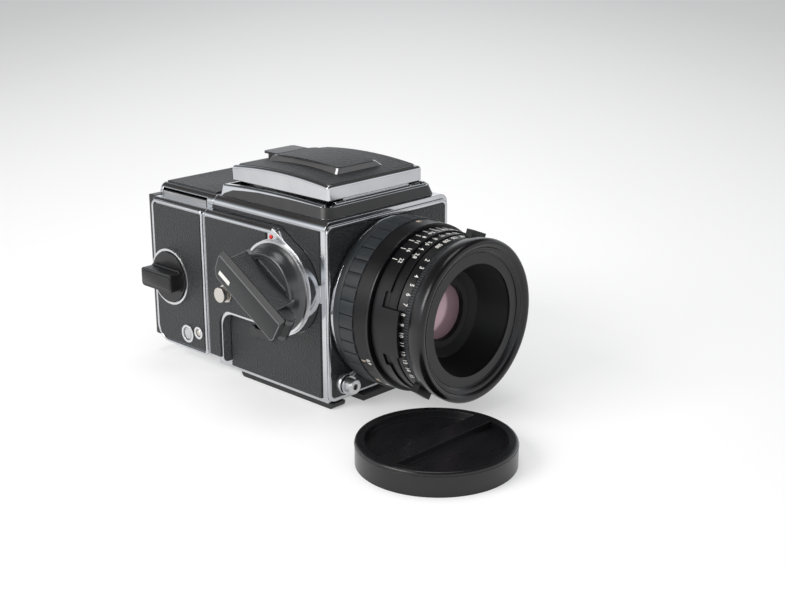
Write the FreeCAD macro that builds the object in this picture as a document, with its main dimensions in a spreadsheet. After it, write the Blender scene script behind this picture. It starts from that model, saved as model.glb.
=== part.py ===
# Medium format single lens reflex film camera: body, folding finder, film magazine, lens and loose lens cap.
# Millimetres, +Z up, the lens looks along -Y and the winding crank is on the -X side.
# The origin is the mouth of the tripod socket, on the underside of the tripod plate.
import FreeCAD
import Part
import math
import os
import Sketcher

doc = FreeCAD.newDocument("film_camera")
sheet = doc.addObject("Spreadsheet::Sheet", "Sizes")

SIZES = {
    # Body shell
    "foot_height": 2.9,
    "socket_setback": 21.5,
    "side_margin": 13.0,
    "body_depth": 78.0,
    "top_margin": 15.4,
    "shell_wall": 2.0,
    "top_round": 4.2,
    "bottom_round": 1.4,
    "side_step": 6.0,
    "raised_bottom": 5.1,
    "raised_drop": 6.1,
    "raised_round": 2.8,
    "pillar_width": 10.5,
    "arch_height": 31.6,
    "arch_round": 8.0,
    "lens_height": 43.15,
    "running_gap": 0.05,
    "seat_gap": 0.3,
    # Coverings
    "leather": 0.7,
    "chrome_border": 2.3,
    "side_border": 3.4,
    "raised_border": 1.3,
    # Mirror chamber
    "chamber_margin": 3.0,
    "chamber_wall": 1.5,
    "chamber_sill": 5.5,
    "chamber_head": 7.5,
    "frame_size": 56.0,
    "frame_bottom": 15.1,
    "mirror_pivot_rise": 3.55,
    "mirror_pivot_inset": 9.0,
    "mirror_overrun": 6.0,
    "mirror_clear": 1.0,
    "mirror_thick": 2.0,
    "knuckle_radius": 1.7,
    "flap_inset": 5.0,
    "flap_thick": 1.0,
    "upper_flap_height": 18.5,
    "flap_gap": 1.5,
    "flap_lap": 0.5,
    "screen_thick": 1.8,
    "screen_ledge": 1.5,
    # Base
    "runner_width": 8.0,
    "runner_inset": 2.0,
    "runner_front": 1.4,
    "runner_length": 65.0,
    "plate_width": 42.0,
    "plate_front": 3.5,
    "plate_length": 44.0,
    "socket_radius": 3.175,
    "socket_outer": 6.5,
    "socket_depth": 7.5,
    # Winding crank and gears
    "crank_setback": 26.5,
    "crank_height": 52.6,
    "crank_disc_radius": 23.0,
    "crank_disc_slope": 0.2,
    "brow_angle": 30.0,
    "brow_patch": 6.0,
    "bezel_radius": 22.4,
    "bezel_width": 1.6,
    "bezel_rise": 1.4,
    "knob_radius": 20.5,
    "knob_top_radius": 16.6,
    "knob_rise": 7.0,
    "crank_tilt": 31.0,
    "grip_width": 12.0,
    "grip_spread": 3.0,
    "grip_length": 38.0,
    "grip_rise": 9.0,
    "arm_width": 13.2,
    "arm_lean": 2.2,
    "arm_round": 2.5,
    "arm_length": 48.0,
    "arm_thick": 2.0,
    "arm_pivot_reach": 22.0,
    "arm_pivot_rise": 12.2,
    "knuckle_room": 5.0,
    "ear_width": 2.4,
    "ear_radius": 3.4,
    "shaft_radius": 3.0,
    "gear_thick": 2.4,
    "gear_wall": 1.6,
    "gear_gap": 0.7,
    "crank_teeth": 30,
    "idler_teeth": 26,
    "rear_teeth": 18,
    "magazine_teeth": 18,
    "takeup_teeth": 20,
    "gear_module": 1.0,
    "idler_angle": 22.3,
    "rear_angle": -28.9,
    "magazine_gear_angle": 0.0,
    "takeup_angle": 33.7,
    "stud_radius": 1.5,
    # Small controls of the body
    "lug_back": 14.8,
    "lug_height": 41.9,
    "lug_stem_radius": 2.0,
    "lug_head_radius": 3.7,
    "lug_base_radius": 4.4,
    "lug_rise": 4.7,
    "lever_setback": 47.5,
    "lever_height": 26.0,
    "lever_reach": 13.5,
    "lever_width": 5.0,
    "lever_rise": 2.6,
    "release_offset": 31.0,
    "release_height": 8.2,
    "release_radius": 3.3,
    "release_collar_radius": 4.6,
    "release_length": 8.5,
    "release_socket_radius": 1.4,
    # Finder
    "finder_inset": 4.5,
    "finder_setback": 3.0,
    "finder_length": 75.0,
    "finder_rise": 6.3,
    "finder_slope": 2.0,
    "finder_wall": 2.2,
    "finder_round": 1.2,
    "finder_corner": 5.0,
    "finder_floor": 1.5,
    "finder_end_wall": 2.5,
    "finder_arch": 600.0,
    "finder_arch_back": 36.5,
    "hinge_radius": 1.3,
    "ear_reach": 28.0,
    "ear_length": 6.0,
    "lid_pivot_rise": 5.0,
    "lid_inset": 9.8,
    "lid_setback": 7.0,
    "lid_length": 68.0,
    "lid_lift": 7.0,
    "lid_top": 16.0,
    "lid_arch": 262.0,
    "lid_arch_back": 42.0,
    "lid_wall": 1.0,
    "lid_round": 1.6,
    "dome_width": 33.0,
    "dome_setback": 17.9,
    "dome_length": 47.6,
    "dome_rise": 2.6,
    "dome_arch": 218.0,
    "dome_arch_back": 43.5,
    "dome_height": 5.0,
    "dome_slope": 6.0,
    "dome_front_slope": 4.0,
    "dome_round": 2.5,
    "tab_width": 20.0,
    "tab_overhang": 1.0,
    "tab_rise": 1.8,
    "tab_thick": 1.0,
    "tab_stem": 17.0,
    "tab_reach": 2.4,
    "panel_thick": 0.6,
    "panel_height": 27.0,
    "panel_pivot_lift": 3.0,
    "panel_inset": 11.0,
    "panel_length": 48.0,
    "panel_strip": 5.0,
    "rear_panel_height": 13.5,
    "rear_panel_width": 46.0,
    "rear_panel_inset": 6.5,
    "magnifier_radius": 12.5,
    "magnifier_thick": 3.0,
    "magnifier_setback": 30.5,
    "magnifier_drop": 4.6,
    "bracket_reach": 7.0,
    # Film magazine
    "magazine_depth": 41.7,
    "magazine_lift": 1.8,
    "magazine_wall": 2.0,
    "magazine_front_wall": 4.7,
    "rear_round": 8.0,
    "rear_cover_depth": 7.5,
    "rear_cover_overhang": 3.5,
    "rear_cover_bottom": 6.6,
    "rear_cover_drop": 5.9,
    "rear_cover_round": 3.5,
    "slide_inset": 1.4,
    "slide_thick": 1.0,
    "slide_gap": 0.2,
    "slide_margin": 2.0,
    "slide_handle": 8.0,
    "insert_wall": 1.8,
    "key_ring_radius": 14.4,
    "key_ring_width": 1.2,
    "key_ring_rise": 2.0,
    "key_rise": 2.8,
    "key_bar_length": 24.0,
    "key_bar_width": 9.6,
    "key_bar_rise": 7.4,
    "key_back": 27.2,
    "key_height": 41.8,
    "counter_radius": 3.4,
    "counter_back": 16.0,
    "counter_height": 14.0,
    "status_radius": 2.0,
    "status_back": 7.2,
    "status_height": 16.4,
    "spool_radius": 12.0,
    "spool_core": 5.8,
    "spool_shaft_radius": 2.0,
    "spool_play": 0.25,
    "spool_gap": 2.25,
    "frame_wall": 2.0,
    "spool_flange": 1.2,
    "film_radius": 11.2,
    "film_margin": 2.3,
    "supply_height": 22.5,
    "pressure_inset": 0.9,
    "pressure_thick": 1.6,
    "pad_radius": 3.0,
    "pad_offset": 15.0,
    "platen_gap": 4.0,
    "platen_thick": 1.5,
    "platen_inset": 2.0,
    "button_length": 9.0,
    "button_width": 5.0,
    "button_rise": 1.6,
    # Lens, depths counted forwards from the front plane
    "mount_radius": 36.0,
    "mount_bore": 30.5,
    "rear_sleeve_radius": 30.2,
    "rear_sleeve_bore": 28.5,
    "rear_sleeve_end": 3.5,
    "flange_radius": 39.7,
    "flange_start": 1.7,
    "flange_end": 3.2,
    "grip_start": 3.5,
    "grip_radius": 40.0,
    "scale_start": 16.5,
    "scale_radius": 40.0,
    "scale_end": 24.9,
    "scale_lean": 0.4,
    "guide_radius": 34.5,
    "guide_bore": 33.0,
    "guide_end": 20.0,
    "sleeve_radius": 36.0,
    "sleeve_start": 12.0,
    "barrel_start": 25.5,
    "barrel_radius": 37.8,
    "barrel_end": 33.4,
    "aperture_radius": 36.9,
    "aperture_end": 38.6,
    "speed_radius": 35.3,
    "speed_end": 46.6,
    "core_radius": 33.3,
    "core_bore": 31.0,
    "front_start": 46.8,
    "front_back_radius": 37.4,
    "front_radius": 38.0,
    "front_end": 55.4,
    "front_round": 1.8,
    "name_outer": 30.9,
    "name_inner": 26.2,
    "name_start": 51.2,
    "name_thick": 1.2,
    "trap_step": 38.0,
    "trap_wide": 20.4,
    "trap_narrow": 16.0,
    "trap_seat": 0.4,
    "glass_radius": 13.0,
    "glass_start": 31.8,
    "glass_end": 34.8,
    "rear_glass_radius": 13.0,
    "rear_glass_start": 4.0,
    "rear_glass_end": 9.0,
    "shutter_start": 24.0,
    "shutter_end": 28.5,
    "shutter_bore": 12.5,
    "blade_count": 5,
    "blade_pitch": 0.5,
    "blade_thick": 0.2,
    "blade_orbit": 21.5,
    "pin_radius": 0.8,
    "tab_radius": 39.6,
    "tab_half": 5.0,
    "upper_tab_angle": 68.0,
    "lower_tab_angle": 235.0,
    "slider_start": 31.0,
    "slider_end": 42.0,
    "slider_half": 10.7,
    "slider_radius": 38.7,
    "blade_outer": 19.5,
    "blade_inner": 14.0,
    "blade_sweep": 100.0,
    "blade_eye": 2.4,
    "glass_curve": 45.0,
    # Lens cap
    "cap_radius": 34.6,
    "cap_height": 10.75,
    "cap_wall": 1.8,
    "cap_floor": 2.0,
    "cap_recess": 3.2,
    "cap_rim": 4.2,
    "cap_bar": 9.5,
    "cap_across": -47.9,
    "cap_ahead": 73.9,
}

for row, (alias, number) in enumerate(SIZES.items(), start=1):
    sheet.set(f"A{row}", alias)
    sheet.set(f"B{row}", str(number))
    sheet.setAlias(f"B{row}", alias)
doc.recompute()


class Size:
    """A length that keeps the sheet expression it is worked out from."""

    def __init__(self, number, text):
        self.number = number
        self.text = text

    def __add__(self, other):
        other = size(other)
        return Size(self.number + other.number, f"({self.text} + {other.text})")

    def __radd__(self, other):
        return size(other) + self

    def __sub__(self, other):
        other = size(other)
        return Size(self.number - other.number, f"({self.text} - {other.text})")

    def __rsub__(self, other):
        return size(other) - self

    def __mul__(self, other):
        other = size(other)
        return Size(self.number * other.number, f"({self.text} * {other.text})")

    def __rmul__(self, other):
        return self * other

    def __truediv__(self, other):
        other = size(other)
        return Size(self.number / other.number, f"({self.text} / {other.text})")

    def __neg__(self):
        return Size(-self.number, f"(0 - {self.text})")

    def cos(self):
        return Size(math.cos(math.radians(self.number)), f"cos({self.text})")

    def sin(self):
        return Size(math.sin(math.radians(self.number)), f"sin({self.text})")


def size(value):
    """A size from a name in the sheet, a plain number or another size."""
    if isinstance(value, Size):
        return value
    if isinstance(value, str):
        return Size(float(SIZES[value]), f"Sizes.{value}")
    return Size(float(value), repr(float(value)))


def bind(thing, **sizes):
    for name, value in sizes.items():
        thing.setExpression(name.replace("_at_", "."), size(value).text)


def move(thing, x, y, z):
    thing.setExpression("Placement.Base.x", size(x).text)
    thing.setExpression("Placement.Base.y", size(y).text)
    thing.setExpression("Placement.Base.z", size(z).text)


TURNS = {
    "X": FreeCAD.Rotation(FreeCAD.Vector(0, 1, 0), 90),
    "Y": FreeCAD.Rotation(FreeCAD.Vector(1, 0, 0), -90),
    "Z": FreeCAD.Rotation(),
}


def turned(thing, angle, x, y, z):
    """Turns a thing about the X direction and moves its own origin to a place."""
    thing.Placement = FreeCAD.Placement(FreeCAD.Vector(), FreeCAD.Rotation(FreeCAD.Vector(1, 0, 0), size(angle).number))
    thing.setExpression("Placement.Rotation.Angle", size(angle).text)
    move(thing, x, y, z)
    return thing


def axis_point(axis, first, second, start):
    """The point at start along an axis, with the two other coordinates in X, Y, Z order."""
    if axis == "X":
        return start, first, second
    if axis == "Y":
        return first, start, second
    return first, second, start


def box(name, x_span, y_span, z_span):
    thing = doc.addObject("Part::Box", name)
    bind(thing, Length=size(x_span[1]) - x_span[0])
    bind(thing, Width=size(y_span[1]) - y_span[0])
    bind(thing, Height=size(z_span[1]) - z_span[0])
    move(thing, x_span[0], y_span[0], z_span[0])
    return thing


def rod(name, axis, first, second, span, radius):
    thing = doc.addObject("Part::Cylinder", name)
    thing.Placement = FreeCAD.Placement(FreeCAD.Vector(), TURNS[axis])
    bind(thing, Radius=radius, Height=size(span[1]) - span[0])
    move(thing, *axis_point(axis, first, second, span[0]))
    return thing


def taper(name, axis, first, second, span, start_radius, end_radius):
    thing = doc.addObject("Part::Cone", name)
    thing.Placement = FreeCAD.Placement(FreeCAD.Vector(), TURNS[axis])
    bind(thing, Radius1=start_radius, Radius2=end_radius, Height=size(span[1]) - span[0])
    move(thing, *axis_point(axis, first, second, span[0]))
    return thing


def join(name, *pieces):
    thing = doc.addObject("Part::MultiFuse", name)
    thing.Shapes = list(pieces)
    thing.Refine = True
    return thing


def cut(name, base, *tools):
    thing = doc.addObject("Part::Cut", name)
    thing.Base = base
    thing.Tool = tools[0] if len(tools) == 1 else join(name + "_tools", *tools)
    thing.Refine = True
    return thing


def overlap(name, first, second):
    thing = doc.addObject("Part::Common", name)
    thing.Base = first
    thing.Tool = second
    thing.Refine = True
    return thing


def ring(name, axis, first, second, span, outer, inner):
    solid = rod(name + "_outer", axis, first, second, span, outer)
    bore_span = (size(span[0]) - 1, size(span[1]) + 1)
    bore = rod(name + "_bore", axis, first, second, bore_span, inner)
    return cut(name, solid, bore)


def rounded(name, base, radius, wanted):
    """Rounds the edges of base whose middle and direction pass the wanted test."""
    doc.recompute()
    thing = doc.addObject("Part::Fillet", name)
    thing.Base = base
    picked = []
    for number, edge in enumerate(base.Shape.Edges, start=1):
        first, last = edge.ParameterRange
        middle = edge.valueAt((first + last) / 2)
        along = edge.tangentAt((first + last) / 2)
        if wanted(middle, along):
            picked.append((number, size(radius).number, size(radius).number))
    thing.Edges = picked
    return thing


def along_y(direction):
    return abs(direction.y) > 0.99


def along_z(direction):
    return abs(direction.z) > 0.99


def along_x(direction):
    return abs(direction.x) > 0.99


NODES = []


def node(thing, name):
    thing.Label = name
    NODES.append(thing)
    return thing


# Places that several sub-parts share

front = -size("socket_setback")
join_y = front + "body_depth"
bottom = size("foot_height")
frame_half = size("frame_size") / 2
frame_bottom = bottom + "frame_bottom"
frame_top = frame_bottom + "frame_size"
top = frame_top + "top_margin"
side = frame_half + "side_margin"
raised_x = -side - "side_step"
raised_bottom = bottom + "raised_bottom"
raised_top = top - "raised_drop"
arch_y = join_y - "pillar_width"
arch_z = bottom + "arch_height"
lens_z = bottom + "lens_height"
crank_y = front + "crank_setback"
crank_z = bottom + "crank_height"
mirror_y = join_y - "mirror_pivot_inset"
mirror_z = frame_top + "mirror_pivot_rise"
chamber_half = frame_half + "chamber_margin"
chamber_bottom = frame_bottom - "chamber_sill"
chamber_top = frame_top + "chamber_head"
flap_y = join_y - "flap_inset"
upper_flap_z = frame_top - 1
screen_start = mirror_y - "frame_size"
screen_end = mirror_y
lug_y = join_y - "lug_back"
lug_z = bottom + "lug_height"
lever_y = front + "lever_setback"
lever_z = bottom + "lever_height"
release_z = bottom + "release_height"
pin_hole = size("pin_radius") + "running_gap"


def gear_radius(teeth):
    return size(teeth) * "gear_module" / 2


def step_on(center, first_teeth, second_teeth, angle):
    """The centre of a gear that meshes with the one at center, in the direction of the angle."""
    apart = gear_radius(first_teeth) + gear_radius(second_teeth)
    turn = size(angle)
    return center[0] + apart * turn.cos(), center[1] + apart * turn.sin()


gear_x_start = raised_x + "gear_wall" + "gear_gap"
gear_x_end = gear_x_start + "gear_thick"
crank_center = (crank_y, crank_z)
idler_center = step_on(crank_center, "crank_teeth", "idler_teeth", "idler_angle")
rear_center = step_on(idler_center, "idler_teeth", "rear_teeth", "rear_angle")
magazine_center = step_on(rear_center, "rear_teeth", "magazine_teeth", "magazine_gear_angle")
takeup_center = step_on(magazine_center, "magazine_teeth", "takeup_teeth", "takeup_angle")


def stud(name, center, start):
    return rod(name, "X", center[0], center[1], (start, gear_x_end + 0.5), "stud_radius")


def raised_profile(name, x_span, grow):
    """The crank side's raised section seen from the side, grown or shrunk all round."""
    grow = size(grow)
    corner = size("arch_round")
    low = arch_z - grow
    back = arch_y - grow
    main = box(name + "_main", x_span, (crank_y, join_y), (low, raised_top + grow))
    pillar = box(name + "_pillar", x_span, (back, join_y), (raised_bottom - grow, low))
    disc = rod(name + "_disc", "X", crank_y, crank_z, x_span, size("crank_disc_radius") + grow)
    block = box(name + "_block", x_span, (back - corner, back), (low - corner, low))
    scoop = rod(name + "_scoop", "X", back - corner, low - corner, x_span, corner)
    lean = size("brow_angle")
    reach = size("crank_disc_radius") + grow
    rise = raised_top + grow - crank_z - reach * lean.cos()
    brow = turned(box(name + "_brow", x_span, (0, rise / lean.sin()), (0, reach)), lean, x_span[0], crank_y, crank_z)
    return main, pillar, disc, cut(name + "_corner", block, scoop), brow


# Body shell, mirror chamber and coverings

def body_shell():
    main = box("shell_block", (-side, side), (front, join_y), (bottom, top))
    main = rounded("shell_top_edges", main, "top_round", lambda p, d: along_y(d) and p.z > top.number - 1)
    main = rounded("shell_low_edges", main, "bottom_round", lambda p, d: along_y(d) and p.z < bottom.number + 1)
    x_span = (raised_x, -side + "shell_wall")
    upper, pillar, disc, corner, brow = raised_profile("raised", x_span, 0)
    upper = rounded("raised_top_edge", upper, "raised_round",
                    lambda p, d: along_y(d) and p.x < raised_x.number + 1 and p.z > raised_top.number - 1)
    pillar = rounded("raised_low_edge", pillar, "raised_round",
                     lambda p, d: along_y(d) and p.x < raised_x.number + 1 and p.z < raised_bottom.number + 1)
    skirt = taper("raised_skirt", "X", crank_y, crank_z, (raised_x, -side),
                  "crank_disc_radius", size("crank_disc_radius") + "crank_disc_slope")
    solid = join("shell_solid", main, upper, pillar, disc, corner, brow, skirt)
    wall = size("shell_wall")
    cavity = box("shell_cavity", (-side + wall, side - wall), (front + wall, join_y - wall), (bottom + wall, top - wall))
    gears = box("shell_gear_room", (raised_x + "gear_wall", -side + wall), (crank_y + wall, join_y - wall),
                (arch_z + wall, raised_top - wall))
    round_room = rod("shell_crank_room", "X", crank_y, crank_z, (raised_x + "gear_wall", -side + wall),
                     size("crank_disc_radius") - wall)
    crank_hole = rod("shell_crank_hole", "X", crank_y, crank_z, (raised_x - 1, raised_x + "shell_wall"),
                     size("shaft_radius") + "seat_gap")
    mount_hole = rod("shell_mount_hole", "Y", 0, lens_z, (front - 1, front + wall + 1), "mount_radius")
    gate = box("shell_gate", (-frame_half, frame_half), (join_y - wall - 1, join_y + 1), (frame_bottom, frame_top))
    slot_low = crank_z - gear_radius("rear_teeth") - 2
    slot_high = crank_z + gear_radius("rear_teeth") + 2
    gear_slot = box("shell_gear_slot", (raised_x + "gear_wall", -side + wall), (join_y - wall - 1, join_y + 1),
                    (slot_low, slot_high))
    screen_hole = box("shell_screen_hole", (-frame_half, frame_half), (screen_start, screen_end), (top - wall - 1, top + 1))
    socket_hole = rod("shell_socket_hole", "Z", 0, 0, (bottom - 1, bottom + wall + 1), "socket_outer")
    release_hole = rod("shell_release_hole", "Y", -size("release_offset"), release_z, (front - 1, front + wall + 1),
                       size("release_radius") + "seat_gap")
    lever_hole = rod("shell_lever_hole", "X", lever_y, lever_z, (-side - 1, -side + wall + 1), pin_hole)
    hollow = cut("body_shell_cut", solid, cavity, gears, round_room, crank_hole, mount_hole, gate, gear_slot,
                 screen_hole, socket_hole, release_hole, lever_hole)
    collar = ring("shell_release_collar", "Y", -size("release_offset"), release_z,
                  (front - "release_length" * size(0.55), front), "release_collar_radius",
                  size("release_radius") + "running_gap")
    stud_root = raised_x + "gear_wall" - 0.5
    studs = (stud("shell_idler_stud", idler_center, stud_root), stud("shell_rear_stud", rear_center, stud_root))
    return node(join("body_shell_whole", hollow, collar, *studs), "body_shell")


def mirror_chamber():
    wall = size("chamber_wall")
    shell = size("shell_wall")
    half = chamber_half
    block = box("chamber_block", (-half, half), (front + shell, join_y - shell), (chamber_bottom, chamber_top))
    room = box("chamber_room", (-half + wall, half - wall), (front + shell + wall, join_y - shell - wall),
               (chamber_bottom + wall, chamber_top - wall))
    eye = rod("chamber_eye", "Y", 0, lens_z, (front + shell - 1, front + shell + wall + 1), "mount_bore")
    gate = box("chamber_gate", (-frame_half, frame_half), (join_y - shell - wall - 1, join_y - shell + 1),
               (frame_bottom, frame_top))
    light = box("chamber_light", (-frame_half + "screen_ledge", frame_half - "screen_ledge"),
                (screen_start + "screen_ledge", screen_end - "screen_ledge"), (chamber_top - wall - 1, chamber_top + 1))
    pins = [rod(f"chamber_pin_hole_{index}", "X", pin_y, pin_z, (-half - 1, half + 1), pin_hole)
            for index, (pin_y, pin_z) in enumerate(((mirror_y, mirror_z), (flap_y, upper_flap_z), (flap_y, frame_bottom)))]
    return node(cut("chamber_cut", block, room, eye, gate, light, *pins), "mirror_chamber")


def side_covering():
    border = size("side_border")
    low = bottom + "chrome_border"
    x_span = (-side - "leather", -side)
    sheet_piece = box("side_sheet", x_span, (front + border, arch_y), (low, top - "top_round"))
    clear = size("crank_disc_slope") + "seat_gap"
    raised = raised_profile("side_clear", (x_span[0] - 1, x_span[1] + 1), "seat_gap")
    around = rod("side_clear_skirt", "X", crank_y, crank_z, (x_span[0] - 1, x_span[1] + 1),
                 size("crank_disc_radius") + clear)
    strip_span = (arch_y, join_y)
    strip = box("side_strip", x_span, strip_span, (raised_top + "seat_gap", top - "top_round"))
    whole = join("side_whole", sheet_piece, strip)
    lever_hole = rod("side_lever_hole", "X", lever_y, lever_z, (x_span[0] - 1, x_span[1] + 1), pin_hole)
    return cut("side_covering", whole, *raised, around, lever_hole)


def raised_covering():
    shrink = -size("raised_border")
    x_span = (raised_x - "leather", raised_x)
    low_round = size("raised_round")
    pieces = raised_profile("raised_sheet", x_span, shrink)
    whole = join("raised_sheet_whole", *pieces)
    window_span = (x_span[0] - 1, x_span[1] + 1)
    keep = box("raised_sheet_keep", window_span, (crank_y + "brow_patch", join_y - "raised_border"),
               (raised_bottom + low_round, raised_top - low_round))
    kept = overlap("raised_sheet_kept", whole, keep)
    bezel = rod("raised_sheet_bezel", "X", crank_y, crank_z, window_span, size("bezel_radius") + "seat_gap")
    lug = rod("raised_sheet_lug", "X", lug_y, lug_z, window_span, size("lug_base_radius") + "seat_gap")
    return cut("raised_covering", kept, bezel, lug)


def left_covering():
    border = size("side_border")
    sheet_piece = box("left_sheet", (side, side + "leather"), (front + border, join_y - border),
                      (bottom + "chrome_border", top - "top_round"))
    lug = rod("left_sheet_lug", "X", lug_y, lug_z, (side - 1, side + 2), size("lug_base_radius") + "seat_gap")
    return cut("left_covering", sheet_piece, lug)


def front_covering():
    border = size("chrome_border")
    plate = box("front_sheet", (-side + border, side - border), (front - "leather", front),
                (bottom + border, top - "top_round"))
    opening = rod("front_sheet_opening", "Y", 0, lens_z, (front - 2, front + 1), size("mount_radius") + "seat_gap")
    release = rod("front_sheet_release", "Y", -size("release_offset"), release_z, (front - 2, front + 1),
                  size("release_collar_radius") + "seat_gap")
    return cut("front_covering", plate, opening, release)


def body_coverings():
    pieces = (side_covering(), raised_covering(), left_covering(), front_covering())
    return node(join("coverings", *pieces), "body_coverings")


def mount_ring():
    flange = ring("mount_flange", "Y", 0, lens_z, (front - "flange_start", front + "shell_wall"), "mount_radius",
                  "mount_bore")
    return node(flange, "body_mount_ring")


# Base: two runners, the tripod plate and its threaded socket

def runner(name, low, high):
    start = front - "runner_front"
    strip = box(name, (low, high), (start, start + "runner_length"), (0, bottom))
    return rounded(name + "_ends", strip, size("foot_height") * 0.7,
                   lambda p, d: along_x(d) and p.z < 0.1)


def base_runners():
    outer = side - "runner_inset"
    inner = outer - "runner_width"
    return node(join("runners", runner("right_runner", -outer, -inner), runner("left_runner", inner, outer)),
                "base_runners")


def sketch_rectangle(body, plane, first, second):
    """A closed rectangle on an origin plane, each corner held by the sheet."""
    sketch = body.newObject("Sketcher::SketchObject", body.Name + "_outline")
    sketch.AttachmentSupport = [feature for feature in body.Origin.OriginFeatures if feature.Role == plane][0], ""
    sketch.MapMode = "FlatFace"
    corners = [(first[0], second[0]), (first[1], second[0]), (first[1], second[1]), (first[0], second[1])]
    points = [FreeCAD.Vector(across.number, along.number, 0) for across, along in corners]
    for number in range(4):
        sketch.addGeometry(Part.LineSegment(points[number], points[(number + 1) % 4]), False)
    for number in range(4):
        sketch.addConstraint(Sketcher.Constraint("Coincident", number, 2, (number + 1) % 4, 1))
    for number in (0, 2):
        sketch.addConstraint(Sketcher.Constraint("Horizontal", number))
        sketch.addConstraint(Sketcher.Constraint("Vertical", number + 1))
    placed = [("DistanceX", 0, first[0]), ("DistanceY", 0, second[0]), ("DistanceX", 2, first[1]), ("DistanceY", 2, second[1])]
    for kind, line, place in placed:
        index = sketch.addConstraint(Sketcher.Constraint(kind, -1, 1, line, 1, place.number))
        sketch.setExpression(f"Constraints[{index}]", place.text)
    return sketch


def tripod_plate():
    body = doc.addObject("PartDesign::Body", "tripod_plate_body")
    half = size("plate_width") / 2
    start = front - "plate_front"
    sketch = sketch_rectangle(body, "XY_Plane", (-half, half), (start, start + "plate_length"))
    pad = body.newObject("PartDesign::Pad", "tripod_plate_pad")
    pad.Profile = sketch
    bind(pad, Length=bottom)
    doc.recompute()
    bore_sketch = body.newObject("Sketcher::SketchObject", "tripod_plate_circle")
    bore_sketch.AttachmentSupport = [part for part in body.Origin.OriginFeatures if part.Role == "XY_Plane"][0], ""
    bore_sketch.MapMode = "FlatFace"
    radius = size("socket_outer")
    bore_sketch.addGeometry(Part.Circle(FreeCAD.Vector(), FreeCAD.Vector(0, 0, 1), radius.number), False)
    bore_sketch.addConstraint(Sketcher.Constraint("Coincident", 0, 3, -1, 1))
    index = bore_sketch.addConstraint(Sketcher.Constraint("Radius", 0, radius.number))
    bore_sketch.setExpression(f"Constraints[{index}]", radius.text)
    bore = body.newObject("PartDesign::Pocket", "tripod_plate_bore")
    bore.Profile = bore_sketch
    bore.Type = "ThroughAll"
    bore.Midplane = True
    doc.recompute()
    return node(body, "tripod_plate")


def tripod_socket():
    depth = size("socket_depth")
    outer = rod("socket_bush", "Z", 0, 0, (0, depth + 1.5), "socket_outer")
    bore = rod("socket_bore", "Z", 0, 0, (-1, depth), "socket_radius")
    return node(cut("socket_cut", outer, bore), "tripod_socket")


# Strap lugs, time lever and release button

def strap_lug(name, seat, outward):
    rise = size("lug_rise") * outward
    head = size("lug_rise") * outward * 0.5
    spans = [(seat, seat + size(outward)), (seat, seat + rise), (seat + head, seat + rise)]
    radii = ["lug_base_radius", "lug_stem_radius", "lug_head_radius"]
    pieces = []
    for index, (span, radius) in enumerate(zip(spans, radii)):
        ordered = span if outward > 0 else (span[1], span[0])
        pieces.append(rod(f"{name}_{index}", "X", lug_y, lug_z, ordered, radius))
    return join(name, *pieces)


def strap_lugs():
    return node(join("lugs", strap_lug("right_lug", raised_x, -1), strap_lug("left_lug", side, 1)), "strap_lugs")


def time_lever():
    face = -side - "leather" - "seat_gap"
    outer = face - "lever_rise"
    half = size("lever_width") / 2
    hub = rod("lever_hub", "X", lever_y, lever_z, (outer, face), half)
    arm = box("lever_arm", (outer, outer + "lever_rise" * size(0.6)), (lever_y - "lever_reach", lever_y),
              (lever_z - half, lever_z + half * 0.6))
    pin = rod("lever_pin", "X", lever_y, lever_z, (face, -side + "shell_wall"), "pin_radius")
    return node(join("lever", hub, arm, pin), "time_lever")


def release_button():
    stem = rod("button_stem", "Y", -size("release_offset"), release_z, (front - "release_length", front),
               "release_radius")
    socket = rod("button_socket", "Y", -size("release_offset"), release_z,
                 (front - "release_length" - size(1), front - "release_length" * size(0.5)), "release_socket_radius")
    return node(cut("button_cut", stem, socket), "release_button")


# Mirror, the two rear flaps and the focusing screen

def mirror():
    half = frame_half - "mirror_clear"
    plate = box("mirror_plate", (-half, half), (-size("frame_size") - "mirror_overrun", 0), (-size("mirror_thick") / 2, size("mirror_thick") / 2))
    knuckle = rod("mirror_knuckle", "X", 0, 0, (-half, half), "knuckle_radius")
    pin = rod("mirror_pin", "X", 0, 0, (-chamber_half, chamber_half), "pin_radius")
    return node(turned(join("mirror_whole", plate, knuckle, pin), 45, 0, mirror_y, mirror_z), "mirror")


def flap(name, z_span, pivot_z):
    half = frame_half + "flap_lap"
    thick = size("flap_thick") / 2
    plate = box(name + "_plate", (-half, half), (flap_y - thick, flap_y + thick), z_span)
    pin = rod(name + "_pin", "X", flap_y, pivot_z, (-chamber_half, chamber_half), "pin_radius")
    return node(join(name + "_whole", plate, pin), name)


def focusing_screen():
    half = frame_half - "seat_gap"
    y_span = (screen_start + "seat_gap", screen_end - "seat_gap")
    return node(box("screen_glass", (-half, half), y_span, (chamber_top, chamber_top + "screen_thick")), "focusing_screen")


# Winding crank, and the gears that carry its turn into the magazine

def crank_bezel():
    inner = size("bezel_radius") - "bezel_width"
    return node(ring("bezel", "X", crank_y, crank_z, (raised_x - "bezel_rise", raised_x), "bezel_radius", inner), "crank_bezel")


arm_x = raised_x - "arm_pivot_rise"
knob_base = raised_x - "seat_gap"
knob_top = knob_base - "knob_rise"
grip_top = knob_top - "grip_rise"
arm_top = grip_top - "arm_thick"


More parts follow.
